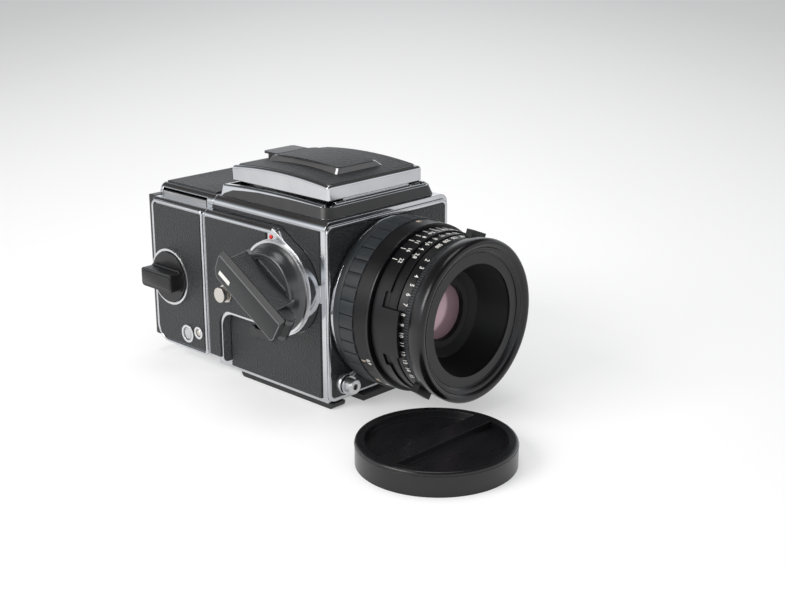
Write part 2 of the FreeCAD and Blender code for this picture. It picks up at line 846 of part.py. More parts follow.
def outward_wedge(name, y_span, z_span, z_span_out, x_span):
    """A block whose Z span changes from the first to the last place of its X span."""
    block = doc.addObject("Part::Wedge", name)
    bind(block, Xmin=y_span[0], Xmax=y_span[1], X2min=y_span[0], X2max=y_span[1], Ymin=0, Ymax=x_span[0] - x_span[1])
    bind(block, Zmin=z_span[0], Zmax=z_span[1], Z2min=z_span_out[0], Z2max=z_span_out[1])
    block.Placement = FreeCAD.Placement(FreeCAD.Vector(), FreeCAD.Rotation(FreeCAD.Vector(0, 0, 1), 90))
    move(block, x_span[0], 0, 0)
    return block


def crank_hub():
    knob = taper("hub_knob", "X", 0, 0, (knob_top, knob_base), "knob_top_radius", "knob_radius")
    dish = ring("hub_dish", "X", 0, 0, (knob_top - 1, knob_top + 1.2), size("knob_top_radius") - 1.6,
                size("grip_width") / 2 + 1)
    knob = cut("hub_knob_cut", knob, dish)
    half = size("grip_width") / 2
    near = -size("arm_pivot_reach") + "knuckle_room"
    wide = half + "grip_spread"
    block = outward_wedge("hub_grip", (near, size("grip_length") / 2), (-wide, wide), (-half, half),
                          (knob_top + 1.6, grip_top))
    ears = []
    for index, (low, high) in enumerate(((-half, -half + "ear_width"), (half - "ear_width", half))):
        pivot_y = -size("arm_pivot_reach")
        ears.append(box(f"hub_ear_{index}", (arm_x - "ear_radius", arm_x + "ear_radius"), (pivot_y, near + 0.5), (low, high)))
        ears.append(rod(f"hub_ear_end_{index}", "Z", arm_x, pivot_y, (low, high), "ear_radius"))
    pin = rod("hub_pin", "Z", arm_x, -size("arm_pivot_reach"), (-half, half), "pin_radius")
    shaft = rod("hub_shaft", "X", 0, 0, (knob_base - 1, gear_x_end), "shaft_radius")
    whole = join("hub_whole", knob, block, *ears, pin, shaft)
    return node(turned(whole, "crank_tilt", 0, crank_y, crank_z), "crank_hub")


def crank_arm():
    half = size("arm_width") / 2
    reach = size("arm_length") / 2
    plate = outward_wedge("arm_plate", (-reach, reach), (-half, half), (-half, half - "arm_lean"), (grip_top, arm_top))
    plate = rounded("arm_plate_corners", plate, "arm_round", lambda p, d: along_x(d))
    pivot_y = -size("arm_pivot_reach")
    inner = size("grip_width") / 2 - "ear_width" - "running_gap"
    knuckle = rod("arm_knuckle", "Z", arm_x, pivot_y, (-inner, inner), "ear_radius")
    web = box("arm_web", (grip_top, arm_x), (pivot_y - 2, pivot_y + 2), (-inner, inner))
    hole = rod("arm_hole", "Z", arm_x, pivot_y, (-inner - 1, inner + 1), pin_hole)
    whole = cut("arm_cut", join("arm_solid", plate, knuckle, web), hole)
    return node(turned(whole, "crank_tilt", 0, crank_y, crank_z), "crank_arm")


def gear(name, teeth, center, phase, bore):
    """A spur gear on an axis along X, its first tooth at the phase angle from +Y towards +Z."""
    body = doc.addObject("PartDesign::Body", name + "_body")
    pitch = gear_radius(teeth)
    disc = body.newObject("PartDesign::AdditiveCylinder", name + "_disc")
    bind(disc, Radius=pitch - size("gear_module") * 1.25, Height="gear_thick")
    tooth = body.newObject("PartDesign::AdditiveWedge", name + "_tooth")
    wide = size("gear_module") * 0.85
    narrow = size("gear_module") * 0.35
    bind(tooth, Xmin=-wide, Xmax=wide, X2min=-narrow, X2max=narrow)
    bind(tooth, Ymin=pitch - size("gear_module") * 1.8, Ymax=pitch + size("gear_module") * 0.9)
    bind(tooth, Zmin=0, Zmax="gear_thick", Z2min=0, Z2max="gear_thick")
    pattern = body.newObject("PartDesign::PolarPattern", name + "_teeth")
    pattern.Originals = [tooth]
    pattern.Axis = ([part for part in body.Origin.OriginFeatures if part.Role == "Z_Axis"][0], [""])
    pattern.Angle = 360
    bind(pattern, Occurrences=teeth)
    body.Tip = pattern
    hole = body.newObject("PartDesign::SubtractiveCylinder", name + "_hole")
    bind(hole, Radius=bore, Height="gear_thick")
    body.Tip = hole
    turn = FreeCAD.Rotation(FreeCAD.Vector(1, 0, 0), phase) * TURNS["X"]
    body.Placement = FreeCAD.Placement(FreeCAD.Vector(), turn)
    move(body, gear_x_start, center[0], center[1])
    return body


def meshed_phase(phase, first_teeth, second_teeth, angle):
    """The phase that puts a gap of the second gear against a tooth of the first."""
    direction = size(angle).number
    pitches = (direction - phase) * SIZES[first_teeth] / 360
    return direction + 180 - (0.5 - pitches) * 360 / SIZES[second_teeth]


def gears():
    stud_hole = size("stud_radius") + "running_gap"
    idler_phase = meshed_phase(0, "crank_teeth", "idler_teeth", "idler_angle")
    rear_phase = meshed_phase(idler_phase, "idler_teeth", "rear_teeth", "rear_angle")
    magazine_phase = meshed_phase(rear_phase, "rear_teeth", "magazine_teeth", "magazine_gear_angle")
    takeup_phase = meshed_phase(magazine_phase, "magazine_teeth", "takeup_teeth", "takeup_angle")
    node(gear("crank_wheel", "crank_teeth", crank_center, 0, "shaft_radius"), "crank_gear")
    node(gear("idler_wheel", "idler_teeth", idler_center, idler_phase, stud_hole), "idler_gear")
    node(gear("rear_wheel", "rear_teeth", rear_center, rear_phase, stud_hole), "rear_gear")
    node(gear("magazine_wheel", "magazine_teeth", magazine_center, magazine_phase, stud_hole), "magazine_gear")
    return gear("takeup_wheel", "takeup_teeth", takeup_center, takeup_phase, size("spool_shaft_radius") / 2)


# Folding finder: base frame, lid, three folding panels and the magnifier

finder_start = front + "finder_setback"
finder_end = finder_start + "finder_length"
lid_y = front + "lid_setback" - 0.1
lid_z = top + "lid_pivot_rise"
lid_start = front + "lid_setback" + 0.4
lid_end = lid_start + "lid_length"
lid_low = top + "lid_lift"
panel_z = top + "panel_pivot_lift"
rear_panel_y = finder_end - "rear_panel_inset"
finder_half = side - "finder_inset"
lid_half = side - "lid_inset"
panel_x = side - "panel_inset"
magnifier_y = lid_y + "magnifier_setback"
magnifier_z = lid_z + "magnifier_drop"


def crown(name, half, y_center, z_top, radius):
    """A long cylinder across the finder that gives a part its gently arched top."""
    return rod(name, "X", y_center, size(z_top) - radius, (-size(half), half), radius)


def finder_base():
    half = finder_half
    block = doc.addObject("Part::Wedge", "finder_block")
    bind(block, Xmin=-half, Xmax=half, X2min=-half + "finder_slope", X2max=half - "finder_slope")
    bind(block, Ymin=0, Ymax="finder_rise")
    bind(block, Zmin=-finder_end, Zmax=-finder_start, Z2min=-finder_end, Z2max=-finder_start - "finder_slope")
    turned(block, 90, 0, 0, top)
    block = rounded("finder_corners", block, "finder_corner", lambda p, d: abs(d.z) > 0.8 and p.y < 0)
    arched = overlap("finder_arched", block, crown("finder_crown", half, finder_arch_y, top + "finder_rise", "finder_arch"))
    arched = rounded("finder_edges", arched, "finder_round", lambda p, d: p.z > top.number + 2)
    inner = half - "finder_slope" - "finder_wall"
    room = box("finder_room", (-inner, inner), (lid_start, finder_end - "finder_end_wall"), (top + "finder_floor", top + 20))
    light = box("finder_light", (-frame_half, frame_half), (screen_start, screen_end), (top - 1, top + 5))
    clear = rod("finder_hinge_room", "X", lid_y, lid_z, (-half, half), size("hinge_radius") + "seat_gap")
    base = cut("finder_base_cut", arched, room, light, clear)
    ears = []
    for index, low in enumerate((-size("ear_reach"), size("ear_reach") - "ear_length")):
        span = (low, low + "ear_length")
        ears.append(rod(f"finder_ear_{index}", "X", lid_y, lid_z, span, "hinge_radius"))
        ears.append(box(f"finder_ear_foot_{index}", span, (lid_y - "hinge_radius", lid_y + 0.2), (top + 2, lid_z)))
    pin = rod("finder_pin", "X", lid_y, lid_z, (-size("ear_reach"), "ear_reach"), "pin_radius")
    whole = join("finder_base_whole", base, *ears, pin)
    holes = []
    for index, across in enumerate((-panel_x, panel_x)):
        holes.append(rod(f"finder_panel_hole_{index}", "Y", across, panel_z, (lid_y, finder_end + 1), pin_hole))
    return node(cut("finder_base_bored", whole, *holes), "finder_base")


finder_arch_y = front + "finder_arch_back"
lid_arch_y = front + "lid_arch_back"
dome_arch_y = front + "dome_arch_back"


def finder_lid():
    half = lid_half
    wall = size("lid_wall")
    lid_top = top + "lid_top"
    outer = box("lid_block", (-half, half), (lid_start, lid_end), (lid_low, lid_top + 1))
    outer = overlap("lid_arched", outer, crown("lid_crown", half, lid_arch_y, lid_top, "lid_arch"))
    outer = rounded("lid_edges", outer, "lid_round", lambda p, d: along_z(d) or p.z > lid_top.number - 4)
    inner = box("lid_room", (-half + wall, half - wall), (lid_start + wall, lid_end - wall), (lid_low - 1, lid_top + 1))
    inner = overlap("lid_room_arched", inner, crown("lid_room_crown", half, lid_arch_y, lid_top - wall, size("lid_arch") - wall))
    shell = cut("lid_shell", outer, inner)
    inside = size("ear_reach") - "ear_length" - "seat_gap"
    knuckle = rod("lid_knuckle", "X", lid_y, lid_z, (-inside, inside), "hinge_radius")
    web = box("lid_web", (-inside, inside), (lid_y + 0.7, lid_start + wall), (lid_z, lid_low + 0.8))
    brackets = []
    for index, low in enumerate((-size("bracket_reach"), size("bracket_reach") - 1.5)):
        brackets.append(box(f"lid_bracket_{index}", (low, low + 1.5), (magnifier_y - 1.5, magnifier_y + 1.5),
                            (magnifier_z - 1.5, lid_top - 1.2)))
    pin = rod("lid_magnifier_pin", "X", magnifier_y, magnifier_z, (-size("bracket_reach"), "bracket_reach"), "pin_radius")
    whole = join("lid_whole", shell, knuckle, web, *brackets, pin)
    hole = rod("lid_hinge_hole", "X", lid_y, lid_z, (-inside - 1, inside + 1), pin_hole)
    return node(cut("lid_cut", whole, hole), "finder_lid")


def finder_dome():
    half = size("dome_width") / 2
    start = front + "dome_setback"
    lid_top = top + "lid_top"
    block = doc.addObject("Part::Wedge", "dome_block")
    bind(block, Xmin=-half, Xmax=half, X2min=-half + "dome_slope", X2max=half - "dome_slope", Ymin=0, Ymax="dome_height")
    bind(block, Zmin=-start - "dome_length", Zmax=-start, Z2min=-start - "dome_length", Z2max=-start - "dome_front_slope")
    turned(block, 90, 0, 0, lid_top - 1.5)
    block = rounded("dome_corners", block, "dome_round", lambda p, d: abs(d.z) > 0.5 and p.y < 0)
    under = crown("dome_under", side, lid_arch_y, lid_top, "lid_arch")
    arched = overlap("dome_arched", block, crown("dome_crown", half, dome_arch_y, lid_top + "dome_rise", "dome_arch"))
    arched = cut("dome_seated", arched, under)
    return node(arched, "finder_dome")


def finder_tab():
    half = size("tab_width") / 2
    start = front + "dome_setback" + "dome_length"
    lid_top = top + "lid_top"
    end = lid_end + "tab_overhang"
    low = lid_top + "tab_rise" - "tab_thick"
    plate = box("tab_plate", (-half, half), (start, end), (low, low + "tab_thick"))
    plate = rounded("tab_corners", plate, 2, lambda p, d: along_z(d) and p.y > start.number + 2)
    stem_half = size("tab_stem") / 2
    stem = box("tab_stem", (-stem_half, stem_half), (start, end - "tab_reach"), (lid_top - 4, low + 0.2))
    under = crown("tab_under", side, lid_arch_y, lid_top, "lid_arch")
    return node(join("tab_whole", plate, cut("tab_foot", stem, under)), "finder_tab")


def side_panel(name, mirrored):
    """A folded side panel lying inwards from its hinge, sloped at both ends to clear the lid."""
    pivot = panel_x
    half = size("panel_thick") / 2
    blade = doc.addObject("Part::Wedge", name + "_blade")
    start = lid_y + 2.5
    end = start + "panel_length"
    bind(blade, Xmin=start, Xmax=end, X2min=start + "panel_height", X2max=end - 2)
    bind(blade, Ymin=0, Ymax="panel_height", Zmin=-half, Zmax=half, Z2min=-half, Z2max=half)
    blade.Placement = FreeCAD.Placement(FreeCAD.Vector(), FreeCAD.Rotation(FreeCAD.Vector(0, 0, 1), 90))
    move(blade, pivot, 0, panel_z)
    strip = box(name + "_strip", (pivot - "panel_strip", pivot), (end - 1, rear_panel_y - 1), (panel_z - half, panel_z + half))
    pin = rod(name + "_pin", "Y", pivot, panel_z, (lid_y + 0.5, finder_end - 1), "pin_radius")
    whole = join(name + "_whole", blade, strip, pin)
    if not mirrored:
        return node(whole, name)
    image = doc.addObject("Part::Mirroring", name + "_image")
    image.Source = whole
    image.Normal = FreeCAD.Vector(1, 0, 0)
    return node(image, name)


def rear_panel():
    half = size("rear_panel_width") / 2
    thick = size("panel_thick") / 2
    blade = box("rear_panel_blade", (-half, half), (rear_panel_y - "rear_panel_height", rear_panel_y),
                (panel_z - thick, panel_z + thick))
    pin = rod("rear_panel_pin", "X", rear_panel_y, panel_z, (-half, half), "pin_radius")
    return node(join("rear_panel_whole", blade, pin), "rear_panel")


def magnifier():
    radius = size("magnifier_radius")
    thick = size("magnifier_thick") / 2
    center_y = magnifier_y + radius + 2
    holder = rod("magnifier_holder", "Z", 0, center_y, (magnifier_z - thick, magnifier_z + thick), radius)
    inner = size("bracket_reach") - 1.5 - "seat_gap"
    arm = box("magnifier_arm", (-inner, inner), (magnifier_y, center_y), (magnifier_z - thick, magnifier_z + thick))
    knuckle = rod("magnifier_knuckle", "X", magnifier_y, magnifier_z, (-inner, inner), thick)
    hole = rod("magnifier_hole", "X", magnifier_y, magnifier_z, (-inner - 1, inner + 1), pin_hole)
    eye = rod("magnifier_eye", "Z", 0, center_y, (magnifier_z - 5, magnifier_z + 5), radius - 1.5)
    frame = cut("magnifier_cut", join("magnifier_solid", holder, arm, knuckle), hole, eye)
    glass = rod("magnifier_glass", "Z", 0, center_y, (magnifier_z - 1, magnifier_z + 1), radius - 1.5)
    return node(join("magnifier_whole", frame, glass), "magnifier")


# Film magazine: shell, dark slide and the film insert that draws out to the crank side

magazine_y = join_y + "seat_gap"
magazine_end = magazine_y + "magazine_depth"
magazine_low = bottom + "magazine_lift"
cover_end = magazine_end + "rear_cover_depth"
slide_y = magazine_y + "slide_inset"
key_y = magazine_y + "key_back"
key_z = bottom + "key_height"
supply_z = bottom + "supply_height"
plate_inner = -side + "insert_wall"
frame_y = magazine_y + "magazine_front_wall" + 0.5
film_half = frame_half + "film_margin"
spool_half = film_half + "spool_flange" + "spool_play"
frame_far = spool_half + "spool_gap"
wheel_room = gear_radius("takeup_teeth") + 2


def magazine_shell():
    wall = size("magazine_wall")
    block = box("magazine_block", (-side, side), (magazine_y, magazine_end), (magazine_low, top))
    block = rounded("magazine_top_edges", block, "top_round", lambda p, d: along_y(d) and p.z > top.number - 1)
    block = rounded("magazine_low_edges", block, "bottom_round", lambda p, d: along_y(d) and p.z < magazine_low.number + 1)
    bay = box("magazine_bay", (-side - 1, side - wall), (magazine_y + "magazine_front_wall", magazine_end - wall),
              (magazine_low + wall, top - wall))
    gate = box("magazine_gate", (-frame_half, frame_half), (magazine_y - 1, magazine_y + 10), (frame_bottom, frame_top))
    half = frame_half + "slide_margin"
    slot = box("magazine_slot", (-half, side + 1), (slide_y - "slide_gap", slide_y + "slide_thick" + "slide_gap"),
               (lens_z - half - "slide_gap", lens_z + half + "slide_gap"))
    return node(cut("magazine_cut", block, bay, gate, slot), "magazine_shell")


def magazine_top_covering():
    half = side - "top_round"
    covering = box("magazine_sheet", (-half, half), (magazine_y + "chrome_border", magazine_end - 1), (top, top + "leather"))
    hole = box("magazine_sheet_hole", (-size("button_length") / 2 - 2, size("button_length") / 2 + 2),
               (magazine_y, magazine_y + "chrome_border" + "button_width" + 1), (top - 1, top + 2))
    return node(cut("magazine_sheet_cut", covering, hole), "magazine_top_covering")


def magazine_rear_cover():
    block = box("cover_block", (-side - "rear_cover_overhang", side), (magazine_end, cover_end),
                (bottom + "rear_cover_bottom", top - "rear_cover_drop"))
    return node(rounded("cover_edges", block, "rear_cover_round", lambda p, d: p.y > cover_end.number - 0.1), "magazine_rear_cover")


def magazine_release():
    half = size("button_length") / 2
    start = magazine_y + "chrome_border"
    button = box("slider_block", (-half, half), (start, start + "button_width"), (top + "running_gap", top + "button_rise"))
    return node(rounded("slider_edges", button, 0.5, lambda p, d: p.z > top.number + 1), "magazine_release")


def dark_slide():
    half = frame_half + "slide_margin"
    blade = box("slide_blade", (-half + 0.5, side + 1), (slide_y, slide_y + "slide_thick"), (lens_z - half, lens_z + half))
    handle = box("slide_handle_bar", (side + 0.5, side + "slide_handle"), (slide_y, slide_y + "slide_thick"),
                 (lens_z - half / 2, lens_z + half / 2))
    return node(join("slide_whole", blade, handle), "dark_slide")


def insert_side_plate():
    back = magazine_end - "running_gap" - 0.1
    block = box("insert_block", (raised_x, -side - "running_gap"), (magazine_y, back), (raised_bottom, raised_top))
    block = rounded("insert_rear_corner", block, "rear_round", lambda p, d: along_x(d) and p.y > back.number - 1
                    and p.z < raised_bottom.number + 1)
    block = rounded("insert_long_edges", block, "raised_round", lambda p, d: along_y(d) and p.x < raised_x.number + 1)
    wall_face = raised_x + "gear_wall"
    room = box("insert_gear_room", (wall_face, -side + 1), (frame_y + 1, takeup_center[0] + wheel_room),
               (rear_center[1] - wheel_room, takeup_center[1] + wheel_room))
    slot = box("insert_gear_slot", (wall_face, -side + 1), (magazine_y - 1, frame_y + 2),
               (rear_center[1] - wheel_room, rear_center[1] + wheel_room))
    shell = cut("insert_plate_cut", block, room, slot)
    axle = stud("magazine_stud", magazine_center, wall_face - 0.5)
    return node(join("insert_plate_whole", shell, axle), "insert_side_plate")


def insert_covering():
    border = size("raised_border")
    low = raised_bottom + "raised_round"
    cover = box("insert_sheet", (raised_x - "leather", raised_x), (magazine_y + "chrome_border" + 0.5, magazine_end - border - 1),
                (low, raised_top - "raised_round"))
    cover = rounded("insert_sheet_corner", cover, size("rear_round") - border, lambda p, d: along_x(d)
                    and p.y > magazine_end.number - 4 and p.z < low.number + 1)
    span = (raised_x - 2, raised_x + 1)
    holes = [rod("insert_key_hole", "X", key_y, key_z, span, "key_ring_radius")]
    for name in ("counter", "status"):
        holes.append(rod(f"insert_{name}_hole", "X", magazine_y + f"{name}_back", bottom + f"{name}_height", span,
                         size(f"{name}_radius") + "key_ring_width"))
    return node(cut("insert_sheet_cut", cover, *holes), "insert_covering")


def trim_ring(name, y, z, outer, width, rise):
    return ring(name, "X", y, z, (raised_x - rise, raised_x), outer, size(outer) - width)


def insert_trim():
    width = size("key_ring_width")
    pieces = [trim_ring("trim_key", key_y, key_z, "key_ring_radius", width, "key_ring_rise")]
    for name in ("counter", "status"):
        pieces.append(trim_ring(f"trim_{name}", magazine_y + f"{name}_back", bottom + f"{name}_height",
                                size(f"{name}_radius") + width, width, size("leather") + 0.4))
    return node(join("insert_trim_whole", *pieces), "insert_trim")


def film_key():
    radius = size("key_ring_radius") - "key_ring_width" - "seat_gap"
    disc = rod("key_disc", "X", key_y, key_z, (raised_x - "key_rise", raised_x - "running_gap"), radius)
    half = size("key_bar_width") / 2
    reach = size("key_bar_length") / 2
    bar = box("key_bar", (raised_x - "key_rise" - "key_bar_rise", raised_x - 2), (key_y - reach, key_y + reach),
              (key_z - half, key_z + half))
    bar = rounded("key_bar_edges", bar, 2, lambda p, d: along_x(d))
    return node(join("key_whole", disc, bar), "film_key")


def insert_frame():
    end_z = (magazine_low + "magazine_wall" + 1.3, top - "magazine_wall" - 1.4)
    end_y = (frame_y, magazine_end - "magazine_wall" - 0.5)
    near = box("frame_near", (-side - "running_gap", plate_inner), end_y, end_z)
    window = box("frame_gear_window", (-side - 1, -side + 1), (frame_y + 1, takeup_center[0] + wheel_room),
                 (rear_center[1] - wheel_room, takeup_center[1] + wheel_room))
    near = cut("frame_near_cut", near, window)
    far = box("frame_far", (frame_far, frame_far + "frame_wall"), end_y, end_z)
    platen = frame_y + "platen_gap"
    tall = frame_half - "platen_inset"
    bar = box("frame_bar", (plate_inner - 0.5, frame_far + 1), (platen, platen + "platen_thick"), (lens_z - tall, lens_z + tall))
    whole = join("frame_whole", near, far, bar)
    shaft_hole = size("spool_shaft_radius") + "running_gap"
    holes = [rod("frame_supply_hole", "X", takeup_center[0], supply_z, (-side + 0.5, side), shaft_hole),
             rod("frame_takeup_hole", "X", takeup_center[0], takeup_center[1], (-side - 1, side), shaft_hole)]
    return node(cut("frame_cut", whole, *holes), "insert_frame")


def pressure_plate():
    start = frame_y + "pressure_inset"
    plate = box("pressure_block", (-frame_half - 1, frame_half + 1), (start, start + "pressure_thick"), (frame_bottom - 1, frame_top + 1))
    pad_places = enumerate((-size("pad_offset"), size("pad_offset")))
    pads = [rod(f"pressure_pad_{index}", "Y", across, lens_z, (start, frame_y + "platen_gap"), "pad_radius")
            for index, across in pad_places]
    return node(join("pressure_whole", plate, *pads), "pressure_plate")


def spool(name, z, near_end, *extra):
    half = spool_half
    y = takeup_center[0]
    pieces = [rod(name + "_core", "X", y, z, (-half, half), "spool_core"),
              rod(name + "_near_flange", "X", y, z, (-half, -half + "spool_flange"), "spool_radius"),
              rod(name + "_far_flange", "X", y, z, (half - "spool_flange", half), "spool_radius"),
              rod(name + "_shaft", "X", y, z, (near_end, frame_far + "frame_wall"), "spool_shaft_radius")]
    return node(join(name + "_whole", *pieces, *extra), name)


def film_roll():
    return node(ring("roll", "X", takeup_center[0], supply_z, (-film_half, film_half), "film_radius", "spool_core"), "film_roll")


# Lens: fixed flange, focus ring, sliding barrel, setting rings, shutter and glass

def ahead(start, end):
    """The Y span between two depths counted forwards from the front plane."""
    return front - end, front - start


def lens_ring(name, start, end, outer, inner):
    return ring(name, "Y", 0, lens_z, ahead(start, end), outer, inner)


def lens_cone(name, start, end, start_radius, end_radius, bore):
    solid = taper(name + "_outer", "Y", 0, lens_z, ahead(start, end), end_radius, start_radius)
    span = (front - end - 1, front - start + 1)
    return cut(name, solid, rod(name + "_bore", "Y", 0, lens_z, span, bore))


def lens_flange():
    plate = lens_ring("flange_plate", size("flange_start"), size("flange_end"), "flange_radius", "rear_sleeve_bore")
    guide = lens_ring("flange_guide", size("flange_end") - 0.5, size("guide_end"), "guide_radius", "guide_bore")
    sleeve = lens_ring("flange_sleeve", -size("rear_sleeve_end"), size("flange_start") + 0.5, "rear_sleeve_radius",
                       "rear_sleeve_bore")
    return node(join("flange_whole", plate, guide, sleeve), "lens_flange")


def focus_ring():
    bore = size("sleeve_radius") + "running_gap"
    grip = lens_ring("focus_grip", size("grip_start"), size("scale_start"), "grip_radius", bore)
    scale = lens_cone("focus_scale", size("scale_start"), size("scale_end"), "scale_radius", size("scale_radius") - "scale_lean", bore)
    return node(join("focus_whole", grip, scale), "focus_ring")


def lens_barrel():
    bore = size("guide_radius") + "running_gap"
    sleeve = lens_ring("barrel_sleeve", size("sleeve_start"), size("barrel_start") + 1, "sleeve_radius", bore)
    collar = lens_ring("barrel_collar", size("barrel_start"), size("barrel_end"), "barrel_radius", "core_bore")
    core = lens_ring("barrel_core", size("barrel_start"), size("front_start"), "core_radius", "core_bore")
    whole = join("barrel_whole", sleeve, collar, core)
    notch_ring = ring("barrel_notch", "Y", 0, lens_z, ahead(size("slider_start") - "running_gap", size("barrel_end") + 1),
                      size("barrel_radius") + 2, "aperture_radius")
    keep = box("barrel_notch_keep", (-side - 5, 0), ahead(size("slider_start") - 5, size("barrel_end") + 5),
               (lens_z - "slider_half" * size(1.6), lens_z + "slider_half" * size(1.6)))
    notch = overlap("barrel_notch_part", notch_ring, keep)
    return node(cut("barrel_cut", whole, notch), "lens_barrel")


def depth_slider():
    band = lens_ring("slider_band", size("slider_start"), size("slider_end"), "slider_radius",
                     size("aperture_radius") + "running_gap")
    keep = box("slider_keep", (-side - 5, 0), ahead(size("slider_start") - 1, size("slider_end") + 1),
               (lens_z - "slider_half", lens_z + "slider_half"))
    return node(overlap("slider_part", band, keep), "depth_slider")


def aperture_ring():
    bore = size("core_radius") + "running_gap"
    return node(lens_ring("aperture_band", size("barrel_end") + 0.2, size("aperture_end"), "aperture_radius", bore),
                "aperture_ring")


def speed_ring():
    bore = size("core_radius") + "running_gap"
    band = lens_ring("speed_band", size("aperture_end") + 0.2, size("speed_end"), "speed_radius", bore)
    tabs = []
    for index, angle in enumerate((size("upper_tab_angle"), size("lower_tab_angle"))):
        tab_span = ahead(size("aperture_end") + 0.8, size("aperture_end") + 4.4)
        tab = box(f"speed_tab_{index}", (-size("tab_half"), "tab_half"), tab_span, (size("core_radius") + 1, "tab_radius"))
        tab.Placement = FreeCAD.Placement()
        holder = join(f"speed_tab_turned_{index}", tab, rod(f"speed_tab_foot_{index}", "Z", 0, front - "aperture_end" - 2.6,
                      (size("core_radius") + 0.6, size("core_radius") + 1.4), 1))
        holder.Placement = FreeCAD.Placement(FreeCAD.Vector(), FreeCAD.Rotation(FreeCAD.Vector(0, 1, 0), 90 - angle.number))
        holder.setExpression("Placement.Rotation.Angle", f"90 - {angle.text}")
        move(holder, 0, 0, lens_z)
        tabs.append(holder)
    return node(join("speed_whole", band, *tabs), "speed_ring")


def name_ring():
    return node(lens_ring("name_band", size("name_start"), size("name_start") + "name_thick", "name_outer", "name_inner"),
                "name_ring")


def front_barrel():
    """The thick front ring and the light trap that narrows behind it to the glass."""
    rim = lens_cone("front_body", size("front_start"), size("front_end"), "front_back_radius", "front_radius", "name_outer")
    rim = rounded("front_edges", rim, "front_round", lambda p, d: p.y < (front - "front_end").number + 0.1)
    trap = lens_ring("trap_body", size("glass_start"), size("name_start"), "name_outer", "glass_radius")
    wide = taper("trap_mouth", "Y", 0, lens_z, ahead(size("trap_step"), size("name_start")), "name_inner", "trap_wide")
    narrow = taper("trap_throat", "Y", 0, lens_z, ahead(size("glass_end"), size("trap_step")), "trap_narrow",
                   size("glass_radius") + "trap_seat")
    return node(join("front_whole", rim, cut("trap_cut", trap, wide, narrow)), "front_barrel")


def front_glass():
    rim = rod("front_glass_rim", "Y", 0, lens_z, ahead(size("glass_start"), size("glass_end")), "glass_radius")
    ball = doc.addObject("Part::Sphere", "front_glass_ball")
    bind(ball, Radius="glass_curve")
    move(ball, 0, front - "glass_end" + "glass_curve", lens_z)
    return node(overlap("front_glass_curved", rim, ball), "front_glass")


def rear_cell():
    tube = lens_ring("rear_tube", size("rear_glass_start") - 0.5, size("shutter_start"), size("rear_glass_radius") + 1.5,
                     "rear_glass_radius")
    glass = rod("rear_glass", "Y", 0, lens_z, ahead(size("rear_glass_start"), size("rear_glass_end")), "rear_glass_radius")
    return node(join("rear_cell_whole", tube, glass), "rear_cell")


def blade_places():
    count = SIZES["blade_count"]
    return [(index, 360.0 * index / count) for index in range(count)]


def shutter_housing():
    plate = lens_ring("shutter_plate", size("shutter_start"), size("shutter_end"), "core_bore", "shutter_bore")
    studs = []
    for index, angle in blade_places():
        reach = size("shutter_end") + 0.2 + size("blade_pitch") * index + "blade_thick" + 0.1
        turn = size(angle)
        studs.append(rod(f"shutter_stud_{index}", "Y", turn.cos() * "blade_orbit", lens_z + turn.sin() * "blade_orbit",
                         ahead(size("shutter_end") - 1, reach), "pin_radius"))
    return node(join("shutter_whole", plate, *studs), "shutter_housing")


def iris_blade(index, angle):
    """One curved iris blade lying on its own level, pinned at its trailing end."""
    name = f"iris_blade_{index + 1}"
    start = size("shutter_end") + 0.2 + size("blade_pitch") * index
    span = ahead(start, start + "blade_thick")
    curve = ring(name + "_curve", "Y", 0, 0, span, "blade_outer", "blade_inner")
    keep = doc.addObject("Part::Cylinder", name + "_keep")
    bind(keep, Radius=size("blade_outer") + 1, Height=size("blade_thick") + 2, Angle="blade_sweep")
    keep.Placement = FreeCAD.Placement(FreeCAD.Vector(), FreeCAD.Rotation(FreeCAD.Vector(1, 0, 0), 90))
    move(keep, 0, span[1] + 1, 0)
    eye = rod(name + "_eye", "Y", "blade_orbit", 0, span, size("blade_eye"))
    whole = join(name + "_solid", overlap(name + "_arc", curve, keep), eye)
    hole = rod(name + "_hole", "Y", "blade_orbit", 0, (span[0] - 1, span[1] + 1), pin_hole)
    blade = cut(name + "_cut", whole, hole)
    blade.Placement = FreeCAD.Placement(FreeCAD.Vector(), FreeCAD.Rotation(FreeCAD.Vector(0, -1, 0), angle))
    move(blade, 0, 0, lens_z)
    return node(blade, name)


# Loose lens cap, lying face up on the floor beside the camera

def lens_cap():
    across = size("cap_across")
    along = front - "cap_ahead"
    height = size("cap_height")
    body = rod("cap_body", "Z", across, along, (0, height), "cap_radius")
    body = rounded("cap_rim", body, 1.2, lambda p, d: p.z > height.number - 0.1)
    hollow = rod("cap_hollow", "Z", across, along, (-1, height - "cap_recess" - "cap_floor"), size("cap_radius") - "cap_wall")
    dish = rod("cap_dish", "Z", across, along, (height - "cap_recess", height + 1), size("cap_radius") - "cap_rim")
    bar = box("cap_bar", (across - 50, across + 50), (along - size("cap_bar") / 2, along + size("cap_bar") / 2),
              (height - 10, height + 5))
    recess = cut("cap_recesses", dish, bar)
    return node(cut("cap_cut", body, hollow, recess), "lens_cap")


